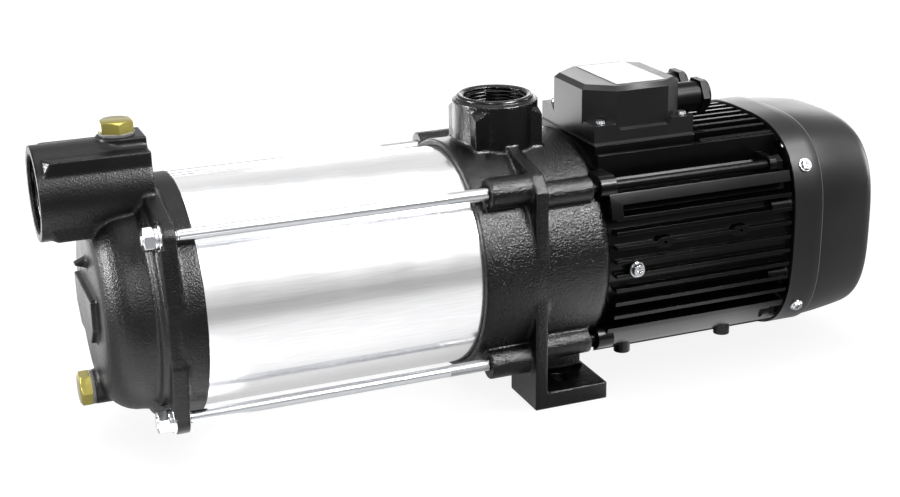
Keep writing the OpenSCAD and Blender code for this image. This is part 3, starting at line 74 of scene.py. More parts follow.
# How bright metal sees the room, by the angle in degrees up from the front and over the top
ROOM_BANDS = (
    (-30, 0.56), (2, 0.60), (7, 0.62), (11, 0.69), (17, 0.81), (24, 0.92), (33, 1.0), (99, 1.0),
    (108, 0.85), (123, 0.82), (140, 0.82), (150, 0.90), (160, 0.98))

# How bright metal sees the floor, by the distance in metres behind the shaft; the dim band under the object is a
# painted shadow
FLOOR_BANDS = (
    (-0.40, 0.42), (-0.31, 0.62), (-0.22, 0.74), (-0.12, 0.86), (-0.09, 0.84), (-0.06, 0.72),
    (-0.03, 0.56), (0.10, 0.48), (0.20, 0.76))

# Name, place, target, size in metres and watts of the lamps that only make highlights
SOFTBOXES = (
    ("Front softbox", (0.44, -0.94, 1.04), MIDDLE, (0.45, 0.34), 88.0),
    ("High softbox", (0.64, -0.43, 1.29), (0.1, 0.0, 0.09), (0.4, 0.3), 22.0),
    ("Left strip", (-1.30, 0.27, 0.42), (-0.29, -0.04, 0.13), (0.45, 0.2), 46.0),
    ("Left softbox", (-0.77, -1.0, 0.85), (-0.26, -0.06, 0.12), (0.25, 0.3), 20.0),
    ("Back strip", (1.05, 1.45, 0.36), (0.2, 0.0, 0.15), (1.7, 0.45), 9.0),
    ("Right strip", (1.5, -0.05, 0.35), (0.2, 0.0, 0.1), (0.3, 0.6), 12.0))


# Settings

class CastingSettings(bpy.types.PropertyGroup):
    voxel: FloatProperty(
        name="Voxel", description="Grid of the rounded castings", default=0.8 * MM,
        unit="LENGTH", precision=5)
    rounding: IntProperty(
        name="Rounding", description="Smoothing passes over the castings' edges", default=2)
    fillets: IntProperty(
        name="Fillets", description="Smoothing passes over the bracket's inner corners",
        default=8)
    paint: FloatVectorProperty(
        name="Paint", description="Black paint on the rough castings", subtype="COLOR",
        default=(0.0035, 0.0035, 0.0037))
    grain: FloatProperty(
        name="Grain", description="Size of the pebbles in the cast skin", default=1.15 * MM,
        unit="LENGTH", precision=5)
    grain_depth: FloatProperty(
        name="Grain depth", description="Depth of the cast skin's relief", default=0.23 * MM,
        unit="LENGTH", precision=6)


class BarrelSettings(bpy.types.PropertyGroup):
    steel: FloatVectorProperty(
        name="Steel", description="Stainless steel sheet", subtype="COLOR",
        default=(0.88, 0.88, 0.89))
    roughness: FloatProperty(
        name="Roughness", description="Mean roughness of the sheet", default=0.17)
    wall: FloatProperty(
        name="Wall", description="Thickness of the sheet", default=1.5 * MM, unit="LENGTH",
        precision=5)


class RodSettings(bpy.types.PropertyGroup):
    pitch: FloatProperty(
        name="Pitch", description="Pitch of the tie rods' thread", default=1.25 * MM,
        unit="LENGTH", precision=5)
    depth: FloatProperty(
        name="Depth", description="Depth of the tie rods' thread", default=0.7 * MM,
        unit="LENGTH", precision=5)
    rear_thread: FloatProperty(
        name="Rear thread", description="Thread that shows in front of the bracket's bosses",
        default=27 * MM, unit="LENGTH", precision=4)
    front_thread: FloatProperty(
        name="Front thread", description="Thread at the nuts' end of the tie rods",
        default=22 * MM, unit="LENGTH", precision=4)
    hidden: FloatProperty(
        name="Hidden", description="Rear end of the tie rods that the bosses hide",
        default=20 * MM, unit="LENGTH", precision=4)
    diameter: FloatProperty(
        name="Diameter", description="Diameter of the tie rods over their threads",
        default=8 * MM, unit="LENGTH", precision=4)
    shank: FloatProperty(
        name="Shank", description="Diameter of the tie rods between their threads",
        default=7.2 * MM, unit="LENGTH", precision=4)
    zinc: FloatVectorProperty(
        name="Zinc", description="Bright zinc plate", subtype="COLOR", default=(0.56, 0.57, 0.59))


class PortSettings(bpy.types.PropertyGroup):
    pitch: FloatProperty(
        name="Pitch", description="Pitch of the pipe threads", default=2.309 * MM,
        unit="LENGTH", precision=5)
    depth: FloatProperty(
        name="Depth", description="Depth of the pipe threads", default=1.48 * MM,
        unit="LENGTH", precision=5)
    lip: FloatProperty(
        name="Lip", description="Radius of the round lip on the discharge port",
        default=23.3 * MM, unit="LENGTH", precision=5)
    lip_round: FloatProperty(
        name="Lip round", description="Radius of the round section of that lip",
        default=1.75 * MM, unit="LENGTH", precision=5)
    rim: FloatProperty(
        name="Rim", description="Radius of the ground rim on the suction port",
        default=28.8 * MM, unit="LENGTH", precision=5)


class MotorSettings(bpy.types.PropertyGroup):
    paint: FloatVectorProperty(
        name="Paint", description="Black paint of the finned housing", subtype="COLOR",
        default=(0.0035, 0.0035, 0.0038))
    plastic: FloatVectorProperty(
        name="Cowl", description="Black plastic of the cowl", subtype="COLOR",
        default=(0.008, 0.008, 0.0088))
    box: FloatVectorProperty(
        name="Box", description="Dark grey plastic of the terminal box", subtype="COLOR",
        default=(0.005, 0.0052, 0.0056))
    edge: FloatProperty(
        name="Edge", description="Width of the rounded edges of fins and plates",
        default=0.35 * MM, unit="LENGTH", precision=5)
    cowl_wall: FloatProperty(
        name="Cowl wall", description="Wall of the fan cowl", default=2.5 * MM, unit="LENGTH",
        precision=5)
    cowl_band: FloatProperty(
        name="Cowl band", description="Width of the cowl's plain band in front of its seam",
        default=22 * MM, unit="LENGTH", precision=4)
    spokes: IntProperty(
        name="Spokes", description="Number of spokes across the grille", default=6)
    spoke_width: FloatProperty(
        name="Spoke width", description="Width of each spoke", default=4 * MM, unit="LENGTH",
        precision=5)


class StageSettings(bpy.types.PropertyGroup):
    camera_place: FloatVectorProperty(
        name="Camera", description="Place of the camera", subtype="TRANSLATION",
        default=(-0.4130, -0.8999, 0.4320))
    azimuth: FloatProperty(
        name="Azimuth", description="Turn of the camera round the object", subtype="ANGLE",
        default=math.radians(-21.68))
    elevation: FloatProperty(
        name="Elevation", description="Height angle of the camera", subtype="ANGLE",
        default=math.radians(19.33))
    roll: FloatProperty(
        name="Roll", description="Roll of the camera", subtype="ANGLE",
        default=math.radians(-0.89))
    focal_pixels: FloatProperty(
        name="Focal length", description="Focal length in pixels of the photograph's width",
        default=1540.4)


# Meshes

def link(name, mesh, finish, body=PUMP, replaced=()):
    """A piece of the object that rides on a body and takes its finish from a slot."""
    piece = bpy.data.objects.new(name, mesh)
    bpy.context.scene.collection.objects.link(piece)
    mesh.materials.clear()
    mesh.materials.append(finish)
    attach(piece, body)
    if replaced:
        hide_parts(*replaced)


def mesh_of(name, points, faces, smooth_angle=40.0):
    """A shaded mesh of points and faces."""
    mesh = bpy.data.meshes.new(name)
    mesh.from_pydata(points, [], faces)
    mesh.validate()
    shade(mesh, smooth_angle)
    return mesh


def shade(mesh, smooth_angle=40.0):
    """Smooth faces, with sharp edges where two faces meet at more than the angle."""
    mesh.shade_smooth()
    mesh.set_sharp_from_angle(angle=math.radians(smooth_angle))


def joined(node, flat_angle=0.4):
    """A CAD node's form with its split corners joined and its flat faces made whole."""
    form = bmesh.new()
    form.from_mesh(NODES[node].data)
    bmesh.ops.remove_doubles(form, verts=form.verts, dist=0.02 * MM)
    bmesh.ops.dissolve_limit(form, angle_limit=math.radians(flat_angle), verts=form.verts,
                             edges=form.edges)
    return form


def plain_mesh(form, name):
    """The form as a mesh with no leftover corner normals."""
    form.verts.index_update()
    points = [v.co.copy() for v in form.verts]
    faces = [[v.index for v in face.verts] for face in form.faces]
    form.free()
    mesh = bpy.data.meshes.new(name)
    mesh.from_pydata(points, [], faces)
    return mesh


def after_modifiers(mesh, name, modifiers):
    """The mesh with modifiers applied, given as (type, settings)."""
    holder = bpy.data.objects.new(name, mesh)
    bpy.context.scene.collection.objects.link(holder)
    for kind, values in modifiers:
        modifier = holder.modifiers.new(kind.title(), kind)
        for key, value in values.items():
            setattr(modifier, key, value)
    graph = bpy.context.evaluated_depsgraph_get()
    made = bpy.data.meshes.new_from_object(holder.evaluated_get(graph))
    made.name = name
    bpy.data.objects.remove(holder)
    bpy.data.meshes.remove(mesh)
    return made


def bevel(width, segments, limit):
    """Settings of a bevel on edges sharper than the limit in degrees."""
    return {"width": width, "segments": segments, "limit_method": "ANGLE",
            "angle_limit": math.radians(limit), "use_clamp_overlap": True,
            "miter_outer": "MITER_ARC", "harden_normals": True}


def edged(node, name, width, segments=2, limit=32.0, smooth_angle=38.0):
    """A copy of a CAD node whose sharp edges are rounded by a small bevel."""
    mesh = plain_mesh(joined(node), name)
    shade(mesh, smooth_angle)
    return after_modifiers(mesh, name, [("BEVEL", bevel(width, segments, limit))])


def refine(node, name, width, finish, body=PUMP, segments=2):
    """Puts a copy with rounded edges, in its finish, in a CAD node's place."""
    link(name, edged(node, name, width, segments), material(finish), body, (node,))


def cast(node, name, settings, fillets):
    """A copy of a CAD node whose edges and corners are rounded as a sand casting's are."""
    form = joined(node)
    bmesh.ops.triangulate(form, faces=form.faces)
    made = after_modifiers(plain_mesh(form, name), name, [
        ("REMESH", {"mode": "VOXEL", "voxel_size": settings.voxel})])
    round_corners(made, settings, fillets)
    made.shade_smooth()
    return made


def round_corners(mesh, settings, fillets):
    """Smooths the whole mesh a little, and its inner corners by more."""
    count = len(mesh.vertices)
    points, normals = np.empty(count * 3), np.empty(count * 3)
    pairs = np.empty(len(mesh.edges) * 2, dtype=np.int32)
    mesh.vertices.foreach_get("co", points)
    mesh.vertices.foreach_get("normal", normals)
    mesh.edges.foreach_get("vertices", pairs)
    points, normals = points.reshape(-1, 3), normals.reshape(-1, 3)
    first, second = pairs.reshape(-1, 2).T
    neighbours = np.bincount(pairs, minlength=count)

    def mean(values):
        return (np.bincount(first, values[second], count)
                + np.bincount(second, values[first], count)) / neighbours

    def pull():
        return np.stack([mean(points[:, k]) for k in range(3)], axis=1) - points

    for _ in range(settings.rounding):
        points += 0.5 * pull()
    hollow = (pull() * normals).sum(axis=1) / settings.voxel
    weight = np.clip((hollow - 0.02) / 0.08, 0.0, 1.0)  # 0 on flats and outer edges
    for _ in range(4):
        weight = np.maximum(weight, mean(weight))
    for _ in range(fillets):
        points += 0.5 * weight[:, None] * pull()
    mesh.vertices.foreach_set("co", points.ravel())
    mesh.update()


def widen_bore(mesh, mount, extra):
    """Moves the wall of a threaded port out, to make room for its thread."""
    centre, axis = Vector(mount["pos_m"]), Vector(mount["axis"])
    radius, half = mount["dims"]["r_mm"] * MM, mount["dims"]["length_mm"] * MM / 2
    for vertex in mesh.vertices:
        offset = vertex.co - centre
        along = offset.dot(axis)
        across = offset - axis * along
        if abs(along) < half + 0.8 * MM and across.length < radius + 1.0 * MM:
            vertex.co = centre + axis * along + across.normalized() * (radius + extra)


def helix_profile(phase, flat=0.12):
    """Height of a rounded thread from 0 at its crest to 1 at its root, over one turn."""
    wave = abs(2.0 * (phase % 1.0) - 1.0)
    return min(1.0, max(0.0, (wave - flat) / (1.0 - 2.0 * flat)))


def around(axis):
    """Two directions square to the axis."""
    side = Vector((0, 1, 0)) if abs(axis[1]) < 0.5 else Vector((1, 0, 0))
    first = axis.cross(side).normalized()
    return first, axis.cross(first)


def tube_faces(rows, sides):
    """Faces between rows of points, each row a closed ring."""
    return [[r * sides + s, r * sides + (s + 1) % sides, (r + 1) * sides + (s + 1) % sides,
             (r + 1) * sides + s] for r in range(rows - 1) for s in range(sides)]


def ring_faces(rows, sides):
    """Faces of a tube whose last row joins its first, as in a washer."""
    last = (rows - 1) * sides
    return tube_faces(rows, sides) + [
        [last + s, last + (s + 1) % sides, (s + 1) % sides, s] for s in range(sides)]


def port_thread(name, mount, pitch, depth, sides=72, steps=8):
    """A threaded sleeve in a port: helical ridges inside, plain outside."""
    centre, axis = Vector(mount["pos_m"]), Vector(mount["axis"]).normalized()
    first, second = around(axis)
    crest, length = mount["dims"]["r_mm"] * MM, mount["dims"]["length_mm"] * MM
    rows = int(length / pitch * steps) + 1
    points = []
    for row in range(rows + 2):
        along = length * min(row, rows - 1) / (rows - 1) - length / 2
        for side in range(sides):
            angle = 2 * math.pi * side / sides
            if row < rows:
                reach = crest + depth * helix_profile(along / pitch + side / sides)
            else:
                reach = crest + depth + 0.35 * MM
            if row == rows + 1:
                along = -length / 2
            points.append(centre + axis * along
                          + reach * (first * math.cos(angle) + second * math.sin(angle)))
    return mesh_of(name, points, ring_faces(rows + 2, sides), 60.0)


def turned_ring(name, centre, axis, profile, sides=96):
    """A closed profile of (radius, distance along the axis) turned round the axis."""
    first, second = around(axis)
    points = []
    for radius, along in profile:
        for side in range(sides):
            angle = 2 * math.pi * side / sides
            points.append(centre + axis * along
                          + radius * (first * math.cos(angle) + second * math.sin(angle)))
    return mesh_of(name, points, ring_faces(len(profile), sides), 35.0)


# Shader node groups

def group(name, inputs, outputs):
    """An empty node group with named sockets, and its input and output nodes."""
    tree = bpy.data.node_groups.new(name, "ShaderNodeTree")
    for title, kind, value in inputs:
        socket = tree.interface.new_socket(title, in_out="INPUT", socket_type=kind)
        if value is not None:
            socket.default_value = value
    for title, kind in outputs:
        tree.interface.new_socket(title, in_out="OUTPUT", socket_type=kind)
    return tree, tree.nodes.new("NodeGroupInput"), tree.nodes.new("NodeGroupOutput")


def add(tree, kind, inputs=None, **settings):
    """A node with its settings, and its inputs given as values or as sockets to link."""
    made = tree.nodes.new(kind)
    for key, value in settings.items():
        setattr(made, key, value)
    for key, value in (inputs or {}).items():
        socket = made.inputs[key]
        if isinstance(value, bpy.types.NodeSocket):
            tree.links.new(value, socket)
        else:
            socket.default_value = value
    return made


def put_out(tree, out, **values):
    """Links each value to the group's output of that name."""
    for title, value in values.items():
        tree.links.new(value, out.inputs[title])


def calc(tree, operation, first, second=0.0, third=0.0):
    """Result of a Math node."""
    return add(tree, "ShaderNodeMath", {0: first, 1: second, 2: third},
               operation=operation).outputs[0]


def span(tree, value, low, high, to_low=0.0, to_high=1.0):
    """The value mapped from one range to another, and held at its ends."""
    return add(tree, "ShaderNodeMapRange", {
        "Value": value, "From Min": low, "From Max": high, "To Min": to_low,
        "To Max": to_high}).outputs["Result"]


def tint(tree, amount, first, second):
    """A colour between two others."""
    mix = add(tree, "ShaderNodeMix", data_type="RGBA")
    for socket, value in ((mix.inputs[0], amount), (mix.inputs[6], first),
                          (mix.inputs[7], second)):
        if isinstance(value, bpy.types.NodeSocket):
            tree.links.new(value, socket)
        else:
            socket.default_value = value
    return mix.outputs[2]


def cast_skin_group():
    """Pebbled skin of a painted sand casting."""
    tree, given, out = group("Cast Skin", [
        ("Vector", "NodeSocketVector", None), ("Grain", "NodeSocketFloat", 1.3 * MM),
        ("Paint", "NodeSocketColor", (0.01, 0.01, 0.01, 1.0)),
        ("Satin", "NodeSocketFloat", 0.31)], [
        ("Color", "NodeSocketColor"), ("Roughness", "NodeSocketFloat"),
        ("Height", "NodeSocketFloat")])
    fine = calc(tree, "DIVIDE", 1.0, given.outputs["Grain"])
    coarse = calc(tree, "MULTIPLY", fine, 0.28)
    pebble = add(tree, "ShaderNodeTexNoise", {
        "Vector": given.outputs["Vector"], "Scale": fine, "Detail": 2.0, "Roughness": 0.55})
    lump = add(tree, "ShaderNodeTexNoise", {
        "Vector": given.outputs["Vector"], "Scale": coarse, "Detail": 1.0})
    patch = add(tree, "ShaderNodeTexNoise", {
        "Vector": given.outputs["Vector"], "Scale": 28.0, "Detail": 3.0})
    raised = span(tree, pebble.outputs["Fac"], 0.30, 0.70)
    height = calc(tree, "MULTIPLY_ADD", lump.outputs["Fac"], 0.8, raised)
    swing = span(tree, patch.outputs["Fac"], 0.3, 0.7, -0.05, 0.05)
    rough = calc(tree, "ADD", given.outputs["Satin"], swing)
    spread = calc(tree, "MULTIPLY_ADD", raised, -0.06, rough)
    lighter = add(tree, "ShaderNodeMix", {0: 0.5}, data_type="RGBA", blend_type="ADD")
    tree.links.new(given.outputs["Paint"], lighter.inputs[6])
    lighter.inputs[7].default_value = (0.006, 0.006, 0.006, 1.0)
    colour = tint(tree, span(tree, patch.outputs["Fac"], 0.35, 0.75, 0.0, 0.6),
                  given.outputs["Paint"], lighter.outputs[2])
    put_out(tree, out, Color=colour, Roughness=spread, Height=height)


def moulded_group():
    """Fine skin of moulded plastic, rubber and smooth paint."""
    tree, given, out = group("Moulded Skin", [
        ("Vector", "NodeSocketVector", None), ("Size", "NodeSocketFloat", 0.4 * MM),
        ("Base", "NodeSocketColor", (0.01, 0.01, 0.01, 1.0)),
        ("Satin", "NodeSocketFloat", 0.4)], [
        ("Color", "NodeSocketColor"), ("Roughness", "NodeSocketFloat"),
        ("Height", "NodeSocketFloat")])
    scale = calc(tree, "DIVIDE", 1.0, given.outputs["Size"])
    skin = add(tree, "ShaderNodeTexNoise", {
        "Vector": given.outputs["Vector"], "Scale": scale, "Detail": 2.0})
    cloud = add(tree, "ShaderNodeTexNoise", {
        "Vector": given.outputs["Vector"], "Scale": 22.0, "Detail": 3.0})
    swing = span(tree, cloud.outputs["Fac"], 0.3, 0.7, -0.035, 0.035)
    rough = calc(tree, "ADD", given.outputs["Satin"], swing)
    lift = add(tree, "ShaderNodeHueSaturation", {
        "Value": span(tree, cloud.outputs["Fac"], 0.3, 0.7, 0.88, 1.14),
        "Color": given.outputs["Base"]})
    put_out(tree, out, Color=lift.outputs["Color"], Roughness=rough,
            Height=skin.outputs["Fac"])


def metal_group():
    """Drawn, turned or plated metal: fine lines along one direction over soft clouds."""
    tree, given, out = group("Worked Metal", [
        ("Vector", "NodeSocketVector", None),
        ("Stretch", "NodeSocketVector", (1.0, 1.0, 1.0)),
        ("Metal", "NodeSocketColor", (0.8, 0.8, 0.8, 1.0)),
        ("Dull", "NodeSocketFloat", 0.2), ("Lines", "NodeSocketFloat", 0.05)], [
        ("Color", "NodeSocketColor"), ("Roughness", "NodeSocketFloat"),
        ("Height", "NodeSocketFloat")])
    drawn = add(tree, "ShaderNodeVectorMath", {
        0: given.outputs["Vector"], 1: given.outputs["Stretch"]}, operation="MULTIPLY")
    lines = add(tree, "ShaderNodeTexNoise", {
        "Vector": drawn.outputs[0], "Scale": 1400.0, "Detail": 2.0})
    cloud = add(tree, "ShaderNodeTexNoise", {
        "Vector": given.outputs["Vector"], "Scale": 30.0, "Detail": 2.0})
    streak = calc(tree, "MULTIPLY", calc(tree, "SUBTRACT", lines.outputs["Fac"], 0.5),
                  given.outputs["Lines"])
    soft = span(tree, cloud.outputs["Fac"], 0.3, 0.7, -0.03, 0.03)
    rough = calc(tree, "ADD", calc(tree, "ADD", given.outputs["Dull"], streak), soft)
    shine = add(tree, "ShaderNodeHueSaturation", {
        "Value": span(tree, lines.outputs["Fac"], 0.2, 0.8, 0.94, 1.05),
        "Color": given.outputs["Metal"]})
    put_out(tree, out, Color=shine.outputs["Color"], Roughness=rough,
            Height=lines.outputs["Fac"])


def blank_material(name):
    """A material with its node tree, its shader, and the place on the object."""
    made = bpy.data.materials.new(name)
    made.use_nodes = True
    tree = made.node_tree
    tree.nodes.clear()
    shader = tree.nodes.new("ShaderNodeBsdfPrincipled")
    output = tree.nodes.new("ShaderNodeOutputMaterial")
    tree.links.new(shader.outputs[0], output.inputs[0])
    place = tree.nodes.new("ShaderNodeTexCoord")
    return made, tree, shader, place.outputs["Object"]


def dress(tree, shader, effect, relief, edge=0.0, height=None):
    """Feeds the shader from an effect group, with its height as a bump of that relief."""
    tree.links.new(effect.outputs["Color"], shader.inputs["Base Color"])
    tree.links.new(effect.outputs["Roughness"], shader.inputs["Roughness"])
    bump = add(tree, "ShaderNodeBump", {
        "Distance": relief, "Height": height or effect.outputs["Height"]})
    if edge:
        soft = add(tree, "ShaderNodeBevel", {"Radius": edge}, samples=4)
        tree.links.new(soft.outputs[0], bump.inputs["Normal"])
    tree.links.new(bump.outputs[0], shader.inputs["Normal"])


def effect_node(tree, title, place, **values):
    """A shared effect placed in a material with its own values."""
    return add(tree, "ShaderNodeGroup", {"Vector": place, **values},
               node_tree=bpy.data.node_groups[title])


def cast_material(name, settings, relief=1.0, satin=0.25, gloss=0.17):
    """Black paint over a sand casting's skin."""
    made, tree, shader, place = blank_material(name)
    effect = effect_node(tree, "Cast Skin", place, Grain=settings.grain,
                         Paint=(*settings.paint, 1.0), Satin=satin)
    shader.inputs["Specular IOR Level"].default_value = gloss
    # The ports and bosses above the barrel are smoother than the rest
    up = add(tree, "ShaderNodeSeparateXYZ", {0: place}).outputs["Z"]
    height = calc(tree, "MULTIPLY", effect.outputs["Height"],
                  span(tree, up, 0.157, 0.166, 1.0, 0.55))
    dress(tree, shader, effect, settings.grain_depth * relief, height=height)


def moulded_material(name, base, satin, size=0.4 * MM, relief=0.02 * MM, gloss=0.3, edge=0.0):
    """Plastic, rubber or smooth paint."""
    made, tree, shader, place = blank_material(name)
    effect = effect_node(tree, "Moulded Skin", place, Size=size, Base=(*base, 1.0), Satin=satin)
    shader.inputs["Specular IOR Level"].default_value = gloss
    dress(tree, shader, effect, relief, edge)


def metal_material(name, base, dull, stretch=(1.0, 1.0, 1.0), lines=0.08, relief=0.004 * MM,
                   edge=0.0):
    """Bare or plated metal. The fine lines run where the stretch is small."""
    made, tree, shader, place = blank_material(name)
    effect = effect_node(tree, "Worked Metal", place, Stretch=stretch, Metal=(*base, 1.0),
                         Dull=dull, Lines=lines)
    shader.inputs["Metallic"].default_value = 1.0
    dress(tree, shader, effect, relief, edge)
    return made


def node_of(tree, kind):
    """The one node of that type."""
    return next(node for node in tree.nodes if node.type == kind)


def brass_with_painted_dark_reflection(name, base, dull):
    """Brass, painted near black where other surfaces mirror it: a painted shade over its reflection in the
    castings.
    """
    tree = metal_material(name, base, dull, edge=0.2 * MM).node_tree
    shader = node_of(tree, "BSDF_PRINCIPLED")
    seen = shader.inputs["Base Color"].links[0].from_socket
    mirrored = tree.nodes.new("ShaderNodeLightPath").outputs["Is Glossy Ray"]
    # Painted shade: the colour seen in glossy rays is near black, so the castings mirror dark brass
    tree.links.new(tint(tree, mirrored, seen, (0.05, 0.05, 0.045, 1.0)),
                   shader.inputs["Base Color"])


def thread_with_painted_shade(name, base, pitch):
    """Zinc with painted shade in the grooves and a painted highlight on the crests, as stripes along X at the
    pitch of the thread.
    """
    tree = metal_material(name, base, 0.22).node_tree
    place = node_of(tree, "TEX_COORD").outputs["Object"]
    along = add(tree, "ShaderNodeSeparateXYZ", {0: place}).outputs["X"]
    wave = calc(tree, "SINE", calc(tree, "MULTIPLY", along, 2.0 * math.pi / pitch))
    # Painted shade and highlight: stripes at 0.45 of the zinc in the grooves, and at 1.9 of it, held at white, on
    # the crests
    colour = tint(tree, span(tree, wave, -0.5, 0.5), shaded(base, 0.45), shaded(base, 1.9))
    tree.links.new(colour, node_of(tree, "GROUP").inputs["Metal"])


def shaded(base, share):
    """The colour made darker or lighter, with its alpha."""
    return [min(1.0, share * part) for part in base] + [1.0]


def material(name):
    """A material made by the finishes' operator."""
    return bpy.data.materials[name]


def paint_nodes(material_name, *names):
    """Gives CAD nodes a material in place of the one they were packed with."""
    for name in names:
        mesh = NODES[name].data
        mesh.materials.clear()
        mesh.materials.append(material(material_name))


# Operators

class PUMP_OT_finishes(bpy.types.Operator):
    """Makes the shared effects and every material of the pump"""
    bl_idname = "pump.finishes"
    bl_label = "Finishes"

    def execute(self, context):
        scene = context.scene
        castings, motor, steel = scene.pump_castings, scene.pump_motor, scene.pump_barrel
        zinc = scene.pump_rods.zinc
        cast_skin_group()
        moulded_group()
        metal_group()
        cast_material("Cast Iron", castings)
        cast_material("Smooth Cast Iron", castings, 0.6, 0.40, 0.15)
        for name, base, satin, more in (
                ("Machined Paint", castings.paint, 0.22, {"gloss": 0.2}),
                ("Housing Paint", motor.paint, 0.25, {"gloss": 0.09, "edge": 0.3 * MM}),
                ("Shield Paint", motor.paint, 0.4, {"gloss": 0.15}),
                ("Cowl Plastic", motor.plastic, 0.36, {"size": 0.5 * MM, "gloss": 0.24}),
                # Grey on the seam's step of the black cowl: a painted highlight along the seam
                ("Cowl Seam Painted Highlight", (0.30, 0.30, 0.31), 0.3, {}),
                ("Box Plastic", motor.box, 0.32, {"size": 0.5 * MM, "gloss": 0.26}),
                ("Gland Plastic", (0.006, 0.006, 0.0066), 0.33, {"gloss": 0.07}),
                ("Black Steel", (0.006, 0.006, 0.0065), 0.3, {"gloss": 0.05}),
                ("Rubber", (0.012, 0.012, 0.012), 0.6, {"size": 0.8 * MM}),
                ("White Nylon", (0.42, 0.42, 0.41), 0.4, {}),
                ("Blank Plate", (0.80, 0.80, 0.80), 0.35, {}),
                ("Seal Carbon", (0.02, 0.02, 0.022), 0.3, {}),
                ("Seal Ceramic", (0.75, 0.72, 0.66), 0.15, {}),
                ("Board Plastic", (0.10, 0.04, 0.02), 0.4, {}),
                ("Fan Plastic", (0.014, 0.014, 0.015), 0.5, {}),
                ("Winding Varnish", (0.28, 0.09, 0.03), 0.3,
                 {"size": 1.1 * MM, "relief": 0.3 * MM})):
            moulded_material(name, base, satin, **more)
        for name, base, dull, more in (
                ("Barrel Steel", steel.steel, steel.roughness,
                 {"stretch": (0.03, 1.0, 1.0), "lines": 0.06, "relief": 0.002 * MM}),
                ("Zinc Plate", zinc, 0.20, {"edge": 0.25 * MM}),
                ("Screw Zinc", shaded(zinc, 0.5)[:3], 0.26, {"edge": 0.2 * MM}),
                ("Dark Zinc", shaded(zinc, 0.22)[:3], 0.38, {}),
                ("Rod Zinc", zinc, 0.16, {"stretch": (0.05, 1.0, 1.0)}),
                ("Pressed Steel", (0.62, 0.63, 0.65), 0.3, {}),
                ("Shaft Steel", (0.62, 0.63, 0.65), 0.2, {"stretch": (0.05, 1.0, 1.0)}),
                ("Bearing Steel", (0.72, 0.73, 0.75), 0.1, {}),
                ("Core Steel", (0.28, 0.29, 0.31), 0.45, {"stretch": (4.0, 0.2, 0.2)})):
            metal_material(name, base, dull, **more)
        # Thread zinc with painted shade in the grooves and painted highlights on the crests
        thread_with_painted_shade("Rolled Thread Painted Shade", zinc, scene.pump_rods.pitch)
        # Brass with a painted dark reflection
        brass_with_painted_dark_reflection("Brass", (0.38, 0.33, 0.09), 0.22)
        return {"FINISHED"}


class PUMP_OT_castings(bpy.types.Operator):
    """Rounds and paints the suction casing and the discharge bracket"""
    bl_idname = "pump.castings"
    bl_label = "Castings"

    def execute(self, context):
        settings, ports = context.scene.pump_castings, context.scene.pump_ports
        for node, mount, finish, softer in (
                ("suction_casing", "suction_port", "Smooth Cast Iron", 3),
                ("discharge_bracket", "discharge_port", "Cast Iron", 1)):
            mesh = cast(node, node + "_cast", settings, settings.fillets * softer)
            widen_bore(mesh, MOUNTS[mount], ports.depth + 0.2 * MM)
            link(node + "_cast", mesh, material(finish), replaced=(node,))
        return {"FINISHED"}


class PUMP_OT_ports(bpy.types.Operator):
    """Cuts the pipe threads and turns the rims of both ports"""
    bl_idname = "pump.ports"
    bl_label = "Ports"

    def execute(self, context):
        ports = context.scene.pump_ports
        for mount in ("suction_port", "discharge_port"):
            name = mount + "_thread"
            link(name, port_thread(name, MOUNTS[mount], ports.pitch, ports.depth),
                 material("Machined Paint"))
        mouth = Vector(MOUNTS["suction_port"]["pos_m"])
        mouth.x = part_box("suction_casing")[0][0]
        inner = MOUNTS["suction_port"]["dims"]["r_mm"] * MM + 1.4 * MM
        rim = [(ports.rim + 0.15 * MM, 0.6 * MM), (ports.rim - 0.1 * MM, -0.1 * MM),
               (inner + 0.6 * MM, -0.1 * MM), (inner, 0.9 * MM)]
        link("suction_rim", turned_ring("suction_rim", mouth, Vector((1, 0, 0)), rim),
             material("Smooth Cast Iron"))
        crown = Vector(MOUNTS["discharge_port"]["pos_m"])
        crown.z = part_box("discharge_bracket")[1][2] - 1.6 * MM
        lip = [(ports.lip + ports.lip_round * math.cos(turn), ports.lip_round * math.sin(turn))
               for turn in (2 * math.pi * i / 16 for i in range(16))]
        link("discharge_lip", turned_ring("discharge_lip", crown, Vector((0, 0, 1)), lip),
             material("Machined Paint"))
        return {"FINISHED"}


class PUMP_OT_barrel(bpy.types.Operator):
    """Gives the barrel its steel, and the seals their rubber"""
    bl_idname = "pump.barrel"
    bl_label = "Barrel"

    def execute(self, context):
        low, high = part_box("barrel")
        outer = (high[1] - low[1]) / 2
        inner = outer - context.scene.pump_barrel.wall
        profile = [(inner, low[0]), (outer, low[0]), (outer, high[0]), (inner, high[0])]
        sheet = turned_ring("barrel_sheet", Vector((0, 0, SHAFT_Z)), Vector((1, 0, 0)),
                            profile, 160)
        link("barrel_sheet", sheet, material("Barrel Steel"),
             replaced=("barrel",))
        paint_nodes("Rubber", "front_barrel_seal", "rear_barrel_seal", "seal_boot", "flinger",
                    "terminal_gasket", "gland_seals")
        return {"FINISHED"}


def rod_rows(x0, x1, settings, radius, sides, steps):
    """Rows of points of one rod along X, with a rolled thread at both ends."""
    chamfer = 0.8 * MM
    front_end, rear_start = x0 + settings.front_thread, x1 - settings.rear_thread
    step = settings.pitch / steps
    stations = [(x0, radius - chamfer)]
    stations += [(x, None) for x in np.arange(x0 + chamfer, front_end, step)]
    stations += [(front_end, settings.shank / 2), (rear_start, settings.shank / 2)]
    stations += [(x, None) for x in np.arange(rear_start + step, x1, step)]
    rows = []
    for x, reach in stations:
        row = []
        for side in range(sides):
            angle = 2 * math.pi * side / sides
            r = reach
            if r is None:
                r = radius - settings.depth * helix_profile(x / settings.pitch - side / sides)
            row.append((x, r * math.cos(angle), r * math.sin(angle)))
        rows.append(row)
    return rows


